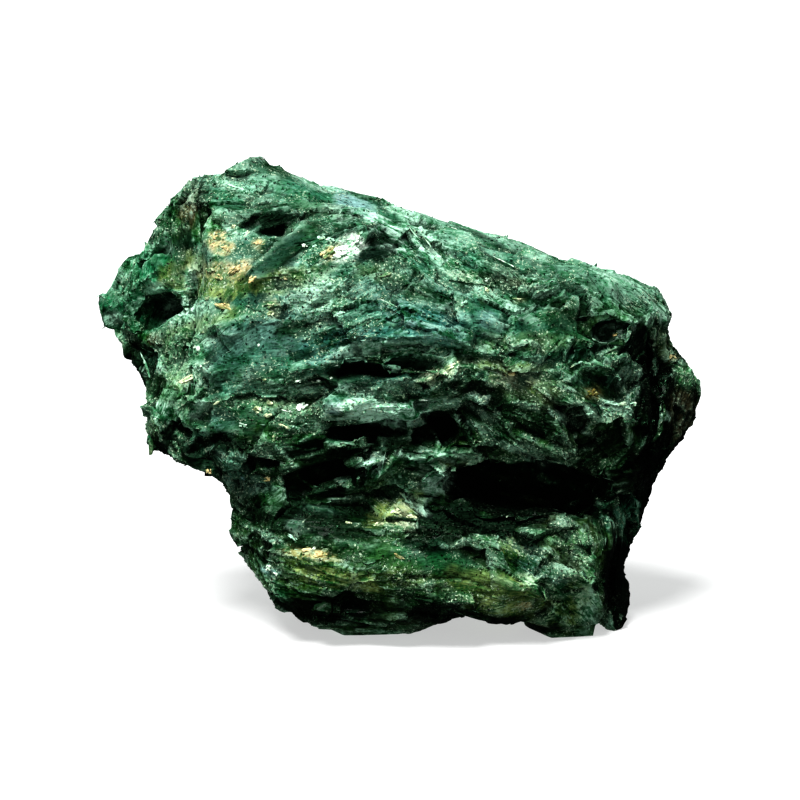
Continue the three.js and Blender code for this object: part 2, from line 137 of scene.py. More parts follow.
# 1 where the stone faces the camera, 0 where it faces away, changing between two leans
def facing(normals, low, high):
    return ramp(normals @ viewBack, low, high)


# Places as seen, in terms of a slanted oval: 1 is the oval's own half length or half width
def inOval(across, up, x, z, long, broad, degrees):
    turn = math.radians(degrees)
    dx, dz = across - x, up - z
    along = (dx * math.cos(turn) + dz * math.sin(turn)) / long
    aside = (dz * math.cos(turn) - dx * math.sin(turn)) / broad
    return along, aside


def readVectors(items, name):
    values = np.zeros(len(items) * 3, np.float32)
    items.foreach_get(name, values)
    return values.reshape(-1, 3).astype(float)


def readEdges(mesh):
    ends = np.zeros(len(mesh.edges) * 2, np.int32)
    mesh.edges.foreach_get("vertices", ends)
    return ends.reshape(-1, 2)


# Moves a mesh's points to places in metres, none of them below the ground
def moveTo(mesh, places):
    places[:, 2] = np.maximum(places[:, 2], 0.0)
    mesh.vertices.foreach_set("co", places.astype(np.float32).ravel())


def triangleCount(mesh):
    return sum(len(face.vertices) - 2 for face in mesh.polygons)


def writeAttribute(mesh, name, kind, domain, values):
    key = {"FLOAT": "value", "FLOAT_VECTOR": "vector", "FLOAT_COLOR": "color"}[kind]
    attribute = mesh.attributes.new(name, kind, domain)
    attribute.data.foreach_set(key, np.ascontiguousarray(values, np.float32).ravel())


def newObject(name, mesh):
    made = bpy.data.objects.new(name, mesh)
    bpy.context.scene.collection.objects.link(made)
    return made


# A plain mesh of what an object's modifiers make, and the object taken away
def settled(name, source):
    bpy.context.view_layer.update()
    graph = bpy.context.evaluated_depsgraph_get()
    mesh = bpy.data.meshes.new_from_object(source.evaluated_get(graph))
    mesh.name = name
    bpy.data.objects.remove(source)
    return mesh


# Node graphs

# A node's output, so that shader maths reads as an expression
class Signal:
    def __init__(self, graph, socket):
        self.graph = graph
        self.socket = socket

    def maths(self, operation, first, second):
        return self.graph.node("ShaderNodeMath", {"operation": operation}, {0: first, 1: second})

    def __add__(self, other):
        return self.maths("ADD", self, other)

    def __radd__(self, other):
        return self.maths("ADD", other, self)

    def __sub__(self, other):
        return self.maths("SUBTRACT", self, other)

    def __rsub__(self, other):
        return self.maths("SUBTRACT", other, self)

    def __mul__(self, other):
        return self.maths("MULTIPLY", self, other)

    def __rmul__(self, other):
        return self.maths("MULTIPLY", other, self)

    def __pow__(self, other):
        return self.maths("POWER", self, other)

    def atLeast(self, other):
        return self.maths("MAXIMUM", self, other)

    def atMost(self, other):
        return self.maths("MINIMUM", self, other)

    # 0 below low, 1 above high, smooth between
    def above(self, low, high):
        return self.graph.node("ShaderNodeMapRange", {"interpolation_type": "SMOOTHSTEP"},
                               {"Value": self, "From Min": low, "From Max": high})


class Graph:
    def __init__(self, tree):
        self.tree = tree
        self.tree.nodes.clear()

    # A node of a kind: its settings are set first, then its sockets' values or links
    def node(self, kind, settings=None, sockets=None, give=0):
        made = self.tree.nodes.new(kind)
        for name, value in (settings or {}).items():
            setattr(made, name, value)
        for name, value in (sockets or {}).items():
            self.feed(self.live(made.inputs, name), value)
        return Signal(self, self.live(made.outputs, give)) if made.outputs else made

    # The socket that is in use with a name or a number
    def live(self, sockets, name):
        if isinstance(name, int):
            return sockets[name]
        return next(socket for socket in sockets if socket.name == name and socket.enabled)

    def feed(self, socket, value):
        if isinstance(value, Signal):
            self.tree.links.new(value.socket, socket)
        else:
            socket.default_value = value

    def attribute(self, name, give="Fac"):
        return self.node("ShaderNodeAttribute", {"attribute_name": name}, give=give)

    def vector(self, operation, first, second):
        return self.node("ShaderNodeVectorMath", {"operation": operation}, {0: first, 1: second})

    def scaled(self, vector, size):
        return self.node("ShaderNodeVectorMath", {"operation": "SCALE"}, {0: vector, "Scale": size})

    # Red, green or blue of a colour, as 0, 1 or 2
    def part(self, colour, which=0):
        return self.node("ShaderNodeSeparateColor", {}, {0: colour}, give=which)

    def cells(self, place, scale=1.0, feature="F1", give="Color"):
        settings = {"feature": feature}
        return self.node("ShaderNodeTexVoronoi", settings, {"Vector": place, "Scale": scale}, give=give)

    def mix(self, share, first, second, way="MIX"):
        settings = {"data_type": "RGBA", "blend_type": way}
        sockets = {"Factor": share, "A": first, "B": second}
        return self.node("ShaderNodeMix", settings, sockets, give="Result")

    def noise(self, place, scale, detail=2.0, rough=0.5, give="Fac"):
        sockets = {"Vector": place, "Scale": scale, "Detail": detail, "Roughness": rough}
        return self.node("ShaderNodeTexNoise", {}, sockets, give=give)


def newMaterial(name):
    material = bpy.data.materials.new(name)
    material.use_nodes = True
    graph = Graph(material.node_tree)
    shader = graph.tree.nodes.new("ShaderNodeBsdfPrincipled")
    output = graph.tree.nodes.new("ShaderNodeOutputMaterial")
    graph.tree.links.new(shader.outputs[0], output.inputs[0])
    return material, graph, shader


# sRGB numbers of 0 to 255 as a linear colour
def tone(red, green, blue):
    return tuple((part / 255) ** 2.2 for part in (red, green, blue)) + (1.0,)


# Mint, silver and white also serve as painted light in the patches below, black and deep green as painted
# shade
tones = {
    "deepGreen": tone(28, 60, 30),
    "green": tone(52, 104, 56),
    "emerald": tone(40, 114, 78),
    "teal": tone(72, 130, 106),
    "blueTeal": tone(130, 166, 164),
    "sea": tone(60, 118, 116),
    "slate": tone(92, 126, 116),
    "dusk": tone(44, 72, 62),
    "mint": tone(176, 214, 192),
    "olive": tone(92, 110, 60),
    "moss": tone(62, 88, 34),
    "yellowGreen": tone(142, 160, 96),
    "brown": tone(84, 72, 50),
    "black": tone(5, 12, 6),
    "cream": tone(216, 224, 186),
    "ochre": tone(222, 198, 148),
    "rust": tone(118, 106, 62),
    "silver": tone(190, 226, 206),
    "white": tone(236, 250, 236),
    "fleckAndGlint": tone(204, 224, 194),
}


# The stone's own mass

mass = {
    "voxel": 0.22,            # how finely the solid is cut up before its relief is raised
    "triangles": 192000,      # what is kept of it
    "sheaves": 300,           # bundles of blades that run one way
    "sheafGap": 3.0,          # the least distance between the middles of two bundles
    "sheafLong": 1.7,         # how much longer than broad a bundle is
    "sheafStep": 0.1,         # how far one bundle stands above the next
    "facet": 0.75,            # how nearly flat the face of each bundle is, as a share
    "facetLean": 0.16,        # how far those faces lean their own way
    "facetDepth": 0.5,        # the most that is added or taken away for them
    "bladeWidth": 1.1,
    "bladeLength": 4.0,
    "narrowest": 0.6,         # of those two, as a share
    "spread": 0.9,            # how much more than that the widest and longest have
    "endShare": 0.7,          # how much shorter blades are on the two ends
    "bladeStep": 0.1,         # how far one blade stands above the next
    "bladeLean": 0.34,        # rise across a blade
    "bladeDip": 0.24,         # rise along a blade
    "fineShare": 0.35,        # height of the finer blades on each blade, as a share
    "fineWidth": 0.32,        # width of those, as a share
    "fineLength": 0.4,        # length of those, as a share
    "inset": 0.2,             # how far the whole is drawn in, so that the relief keeps to the outline
    "warp": 0.24,             # how far the forms of the solid are bent out of true
    "ridge": 0.035,           # height of the uneven ridges along the fibres
    "ridgeLong": 3.4,         # their size along and across the fibres
    "ridgeBroad": 0.9,
    "lump": 0.06,             # height of the uneven lumps
    "crumb": 0.03,            # height of the crumbly grain
    "calmest": 0.16,          # what is left of the relief on the smooth blades, as a share
    "grooveShadeDepth": 0.07,           # depth at which a groove is painted black as shade
    "jitter": 15.0,           # degrees that bundles stray from their neighbours
    "apart": 37.0,            # how far apart the streaks of two bundles start
    "tried": 6000,            # places that are tried for a bundle
    "wander": 22.0,           # degrees that the fibres wander on the back
    "backRun": 4.0,           # degrees from level of the fibres there
    "settle": 4,              # rounds of smoothing of the cut-up solid
    "facingRounds": 6,        # rounds for the ways that its surface faces
    "healRounds": 90,         # rounds for the holes that are closed
    "calmRounds": 20,         # rounds for the smooth blades
    "fineRounds": 6,          # rounds that tell small grooves from the form
    "wideRounds": 40,         # rounds that tell wide grooves from it
    "flatRounds": 60,         # rounds that tell level places from edges
    "seed": 41,
}

# How the fibres run on the front: mm across, mm up, degrees from level, as seen
runs = [
    (-17, 20, -24), (-8, 19, -20), (-3, 19, -24), (3, 16, -52), (8, 16, -30), (14, 13, -26),
    (20, 12, -30), (24, 10, -50), (-20, 22, 15), (-26, 10, 42), (-29, 8, 40), (-22, 19, 80),
    (-17, 13, 20), (-11, 16, 35), (-6, 17, 20), (-14, 8, 16), (-6, 11, 30), (0, 9, -28), (6, 7, -16),
    (12, 11, -8), (16, 7, 8), (22, 6, 22), (-16, 5, 14), (-10, 3, 18), (-4, 5.4, 6), (2, 5, 2),
    (5, 2.6, 18), (12, 2, -16), (18, 1, -24), (-24, 1, 86), (-22, -2, 72), (-17, -2, 4), (-10, -1, -8),
    (-3, 0.6, -12), (0, -2, -4), (8, -2, -28), (14, -4, -30), (19, -2, -14), (-18, -6, -22),
    (-8, -7, -10), (-1, -7, 35), (6, -5.5, -6), (9, -10, -8), (16, -10, -6), (22, -11, 40),
    (-14, -11, -10), (-6, -12, -12), (2, -11, -34), (9, -14, -14), (16, -15, -38), (-13, -16, -12),
    (-4, -17, -10), (4, -17, -18), (11, -19, -20), (17, -19, -46), (-6, -22, -8), (12, -22, -16),
    (23.5, 0, 82), (27, 3, 55), (27, -4, 70), (22, -18, 86),
]


# Degrees of the fibres on the front, for places as seen
def runAngle(across, up):
    known = np.array(runs, float)
    reach = (across[:, None] - known[:, 0]) ** 2 + (up[:, None] - known[:, 1]) ** 2
    return known[np.argmin(reach, axis=1), 2]


# The way the fibres run at places, square to their normals
def fibreRun(places, normals, stray):
    across, up = seenAt(places)
    front = facing(normals, -0.15, 0.25)
    wander = mass["wander"] * softNoise(places, 11.0, 5)
    angle = np.radians(front * runAngle(across, up) + (1 - front) * (mass["backRun"] + wander) + stray)
    run = np.cos(angle)[:, None] * viewRight + np.sin(angle)[:, None] * viewUp
    # on the two ends the fibres would run into the stone, so they lie up and down there
    ends = ramp(np.abs(normals[:, 0]), 0.72, 0.9)[:, None]
    run = run * (1 - ends) + ends * np.array([0.0, 0.35, 1.0])
    run = run - (run * normals).sum(1, keepdims=True) * normals
    return unit(run)


# A neighbour-smoothed copy of values given at each vertex
def smoothed(values, edges, rounds):
    count = len(values)
    ends = np.bincount(edges.ravel(), minlength=count).astype(float)[:, None]
    for _ in range(rounds):
        total = np.zeros_like(values)
        for axis in range(values.shape[1]):
            total[:, axis] += np.bincount(edges[:, 0], weights=values[edges[:, 1], axis], minlength=count)
            total[:, axis] += np.bincount(edges[:, 1], weights=values[edges[:, 0], axis], minlength=count)
        values = 0.5 * values + 0.5 * total / np.maximum(ends, 1)
    return values


# How deep places lie in slanted oval patches on the front: each is mm across, mm up, half length,
# half width and degrees. 1 well inside, 0 outside, with edges broken by `ragged`.
def inPatch(across, up, patch, ragged):
    along, aside = inOval(across, up, *patch[:5])
    return 1 - ramp(np.sqrt(along * along + aside * aside) + ragged, 0.75, 1.2)


# Broad smooth blades, where little stands on the stone
calmPatches = [
    (-14, 4.6, 6.4, 3, 12), (-17, -2.2, 4, 1.6, -4), (-3, 3, 6.6, 1.2, 4), (-12, 14.8, 5.4, 1.2, 43),
    (-10, 20.6, 3, 1.6, -14), (8, 16.4, 7, 1.4, -28), (-3.4, 19.4, 3, 1, -24), (-17, 12.6, 4, 4.4, 0),
    (-8, -11, 2.4, 0.9, -10), (16, 7.4, 5, 1.6, 5), (9, 8, 2, 1.2, -30), (9, 18, 12, 2.2, -25),
    (-9, 21.4, 6, 1.4, -16), (20, 12.4, 4, 1.6, -24), (0, -15.6, 8, 1.6, -12), (8, -18, 7, 1.2, -16),
    (-10, -12.6, 4, 1.2, -8), (-23, 14, 2, 4, 0), (-19, 8, 3, 1.4, 14),
]

# Holes of the solid that are closed up again
healed = [
    (-24.6, 9.4, 3.2, 2.4, 20), (-20.6, 12, 1.2, 4, 0), (-1, 4.8, 7.6, 1.4, 3), (17.4, 7.6, 3, 1.4, 4),
    (-8, -12, 2, 1.4, 0),
]

# Large single blades that stand out of the front: the same oval's numbers, then their height
raised = [
    (-12, 14.8, 4.8, 1.0, 43, 0.25), (-4.4, 19.5, 2.6, 0.8, -25, 0.3), (2.4, 7.4, 2.4, 0.5, -16, 0.25),
    (9.2, 8.0, 1.6, 0.5, -35, 0.25), (-8.2, -11.1, 1.8, 0.5, -12, 0.3), (-2.4, -1.1, 4.2, 1.1, -5, 0.2),
    (-0.6, 9.1, 1.8, 0.3, -28, 0.2), (1.4, 16.2, 3.2, 0.3, -58, 0.35), (3.0, 15.8, 2.6, 0.25, -54, 0.3),
    (7, 18.0, 4.0, 0.7, -26, 0.25), (12, 15.4, 4.4, 0.6, -28, 0.25), (-6.6, -0.7, 1.2, 0.5, -20, 0.3),
    (11, -4.2, 4.0, 0.4, -28, 0.3), (-16.2, 21.1, 1.6, 0.35, -30, 0.3), (-16.8, 7.6, 3.4, 0.5, 16, 0.2),
    (-8.4, 4.0, 3.0, 0.5, 20, 0.2), (3.6, -5.4, 2.2, 0.4, -10, 0.25), (-2.9, -6.4, 1.2, 0.4, 75, 0.3),
    (4.2, -7.4, 2.6, 0.35, 33, 0.35), (-12.4, -5.0, 2.4, 0.4, -40, 0.35),
    (-8.6, -3.8, 2.0, 0.35, 25, 0.3), (-16, -4.6, 2.0, 0.4, -30, 0.35), (9, -1.0, 3.0, 0.35, -38, 0.3),
    (14, -3.0, 3.4, 0.45, -32, 0.3), (17.5, 2.2, 2.4, 0.4, 28, 0.3), (6.5, 1.4, 2.0, 0.35, 30, 0.3),
    (-19, 1.0, 2.6, 0.5, 60, 0.3), (-21.5, -1.5, 2.4, 0.5, 78, 0.35), (-5.2, 6.4, 2.2, 0.35, 32, 0.2),
    (0.6, 5.6, 2.6, 0.35, -8, 0.2), (5.4, 6.0, 1.8, 0.3, -30, 0.25), (11.6, 12.2, 3.0, 0.4, -20, 0.25),
    (19, 10.6, 2.8, 0.4, -34, 0.3), (-12.6, 21.4, 2.4, 0.4, -18, 0.25), (-13, -14, 2.2, 0.4, -30, 0.3),
    (8.4, -15.4, 3.0, 0.4, -30, 0.25), (-9, 9.6, 1.8, 0.3, 40, 0.2), (-25.6, 11.4, 2.6, 0.6, 42, 0.35),
    (-24, 15.4, 2.2, 0.5, 55, 0.35), (12.4, 4.6, 2.4, 0.35, -18, 0.25),
]

# Lines on the outline that the stone is drawn back towards: mm across, mm up, half length, and the
# degrees of the way out
trims = [
    (-21.0, -6.2, 3.8, -117), (9.0, 16.4, 15, 72.4), (-27.3, 13.3, 4.6, 143), (-22.7, 20, 3, 135),
    (24.2, -11, 8, -22), (22.8, -19.5, 2, 0), (26.3, 9.9, 2.6, 30), (28, 4.2, 2.8, 32),
    (29.6, -0.2, 2.4, -10), (-16.9, -12.3, 3, 180), (-13.6, -18.2, 4.6, -140), (-10.4, -21.3, 3, -124),
]

# Places where the front is brought out or set back: the oval's numbers, then how far
forms = [
    (5, 3.4, 13, 2.2, 2, 0.9), (-11, -1.2, 6, 1.8, -6, 0.6), (2, -11, 15, 2.2, -4, -0.9),
    (2, -18.6, 15, 2.4, -6, 0.9), (-18, -5, 3, 1.6, -20, -0.6), (-20, 6, 4, 4, 0, 0.5),
    (-3.1, -6.4, 2.4, 1.6, 20, 1.0), (3.6, -7.8, 3, 1.2, 20, 0.9), (-0.4, -1.6, 3, 1, -5, 0.5),
    (22, 6.6, 3, 1.2, 15, 0.6), (-24.4, 9.6, 3, 2, 20, -0.5),
]

# Crumbly places, where grains crowd
busyPatches = [
    (-18, 12, 5, 4, 0), (-8, 10.8, 4, 2.4, 10), (9, 11.6, 7, 0.9, -4), (-12, -1.2, 5, 2.4, -10),
    (20.5, -1, 4, 1.2, 8), (1, 1.6, 7, 1, 10), (-7.5, 14.6, 3, 1.4, 10), (12, -2, 8, 3, -24),
    (-22, 4, 3, 2.6, 0), (26, 2, 3, 6, 60), (9, -13.6, 6, 1.2, -6), (-10, -13, 5, 2, -6),
    (-9, 7, 5, 0.8, 30), (-17, 22.5, 4, 2, -20), (17, -14.5, 3, 2, 0),
]


# How smooth and how crumbly places are, from 0 to 1 each
def surfaceMood(places, normals):
    across, up = seenAt(places)
    front = facing(normals, -0.2, 0.15)
    ragged = 0.35 * softNoise(places, 2.0, 41)
    calm = ramp(softNoise(places, 6.0, 42), 0.25, 0.7) * (1 - front)  # noise picks them on the back
    busy = 0.7 * ramp(softNoise(places, 4.0, 43), 0.1, 0.6)
    for patch in calmPatches:
        calm = np.maximum(calm, front * inPatch(across, up, patch, ragged))
    for patch in busyPatches:
        busy = np.maximum(busy, front * inPatch(across, up, patch, ragged))
    busy = np.maximum(busy, 0.4 * ramp(np.abs(normals[:, 0]), 0.6, 0.85))  # the two ends
    return calm, busy * (1 - 0.8 * calm)


# The large single blades at places: how high they stand, level on top with straight edges,
# and how strongly their upper rim gets a painted highlight and the foot below them a painted shadow
def raisedAt(places, normals):
    across, up = seenAt(places)
    front = facing(normals, 0.0, 0.3)
    ragged = 0.3 * softNoise(places, 0.9, 81)
    height, rimHighlight, footShadow = np.zeros((3, len(places)))
    for *oval, rise in raised:
        along, aside = inOval(across, up, *oval)
        aside = aside + ragged
        length = front * (1 - ramp(np.abs(along) + 0.1 * aside, 0.85, 1.0))
        width = 1 - ramp(np.abs(aside), 0.8, 1.1)
        height = np.maximum(height, length * width * rise * (0.5 + 0.35 * aside))
        rimHighlight = np.maximum(rimHighlight, length * ramp(aside, 0.1, 0.8) * (1 - ramp(aside, 0.9, 1.1)))
        footShadow = np.maximum(footShadow, length * ramp(-aside, 0.9, 1.1) * (1 - ramp(-aside, 1.5, 1.9)))
    return height, rimHighlight, footShadow


# Places on the front brought out or set back
def formed(places, share):
    across, up = seenAt(places)
    for *oval, push in forms:
        along, aside = inOval(across, up, *oval)
        reach = 1 - ramp(np.sqrt(along * along + aside * aside), 0.1, 1.3)
        places = places + (push * share * reach)[:, None] * np.array([0.0, -1.0, 0.0])
    return places


# Places beyond the trim lines drawn back towards them
def trimmed(places, share):
    for x, z, long, degrees in trims:
        outside, along = inOval(*seenAt(places), x, z, 1, long, degrees)
        cut = 0.95 * np.maximum(outside, 0) * (1 - ramp(np.abs(along), 0.7, 1.15))
        turn = math.radians(degrees)
        places = places - cut[:, None] * share * (math.cos(turn) * viewRight + math.sin(turn) * viewUp)
    return places


# The bundles: their middles, and the three ways of each one's own frame
def makeSheaves(places, normals):
    rng = np.random.default_rng(mass["seed"])
    order = rng.permutation(len(places))[:mass["tried"]]
    chosen = []
    for index in order:
        if all(np.linalg.norm(places[index] - places[other]) > mass["sheafGap"] for other in chosen):
            chosen.append(index)
        if len(chosen) == mass["sheaves"]:
            break
    seat = places[chosen]
    out = normals[chosen]
    run = fibreRun(seat, out, rng.normal(0, mass["jitter"], len(seat)))
    facet = unit(out + rng.normal(0, mass["facetLean"], out.shape))
    return {"seat": seat, "out": out, "run": run, "side": np.cross(out, run), "facet": facet}


# Which bundle each place belongs to
def sheafOf(sheaves, places):
    warped = places + 0.3 * softPush(places, 2.2, (11, 12, 13))
    best = np.full(len(places), 1e9)
    owner = np.zeros(len(places), int)
    for index in range(len(sheaves["seat"])):
        away = warped - sheaves["seat"][index]
        along = away @ sheaves["run"][index] / mass["sheafLong"]
        reach = (away * away).sum(1) + along * along - (along * mass["sheafLong"]) ** 2
        closer = reach < best
        best[closer] = reach[closer]
        owner[closer] = index
    return owner


# The blades at places: their height, a number for each blade, the place in the bundle's frame in mm,
# and the middle of the blade
def bladesAt(sheaves, owner, places):
    away = places - sheaves["seat"][owner]
    along = (away * sheaves["run"][owner]).sum(1)
    across = (away * sheaves["side"][owner]).sum(1)
    crumbly = ramp(np.abs(sheaves["out"][owner][:, 0]), 0.6, 0.85)
    width = mass["bladeWidth"] * (mass["narrowest"] + mass["spread"] * chance(owner, 1))
    length = mass["bladeLength"] * (mass["narrowest"] + mass["spread"] * chance(owner, 2))
    length = length * (1 - mass["endShare"] * crumbly)
    row = across / width + 0.5 * softNoise(places, 3.0, 21)
    rowCell = np.floor(row)
    shift = 9 * chance(owner, rowCell, 3)
    column = along / length + shift + 0.08 * softNoise(places, 0.9, 22)
    columnCell = np.floor(column)
    each = chance(owner, rowCell, columnCell, 4)
    lean = 2 * chance(owner, rowCell, columnCell, 5) - 1
    dip = 2 * chance(owner, rowCell, columnCell, 6) - 1
    height = mass["bladeStep"] * (2 * each - 1)
    height += mass["bladeLean"] * lean * (row - rowCell - 0.5)
    height += mass["bladeDip"] * dip * (column - columnCell - 0.5)
    fineRow = across / (width * mass["fineWidth"]) + 0.4 * softNoise(places, 1.6, 23)
    fineColumn = along / (length * mass["fineLength"]) + 5 * chance(owner, np.floor(fineRow), 7)
    fine = chance(owner, np.floor(fineRow), np.floor(fineColumn), 8)
    height += mass["fineShare"] * mass["bladeStep"] * (2 * fine - 1)
    height += mass["sheafStep"] * (2 * chance(owner, 9) - 1)
    fibrous = np.stack([along / mass["ridgeLong"], across / mass["ridgeBroad"], owner * 3.7], axis=1)
    height += mass["ridge"] * (softNoise(fibrous, 1.0, 25) + 0.45 * softNoise(fibrous, 0.42, 27))
    height += mass["lump"] * softNoise(places, 2.4, 26)
    height += mass["crumb"] * (softNoise(places, 1.1, 24) + 0.6 * softNoise(places, 0.5, 28))
    middle = (sheaves["seat"][owner]
              + ((columnCell + 0.5 - shift) * length)[:, None] * sheaves["run"][owner]
              + ((rowCell + 0.5) * width)[:, None] * sheaves["side"][owner])
    # each bundle's streaks start elsewhere
    above = (away * sheaves["out"][owner]).sum(1) + mass["apart"] * owner
    return height, each, np.stack([along, across, above], axis=1), middle
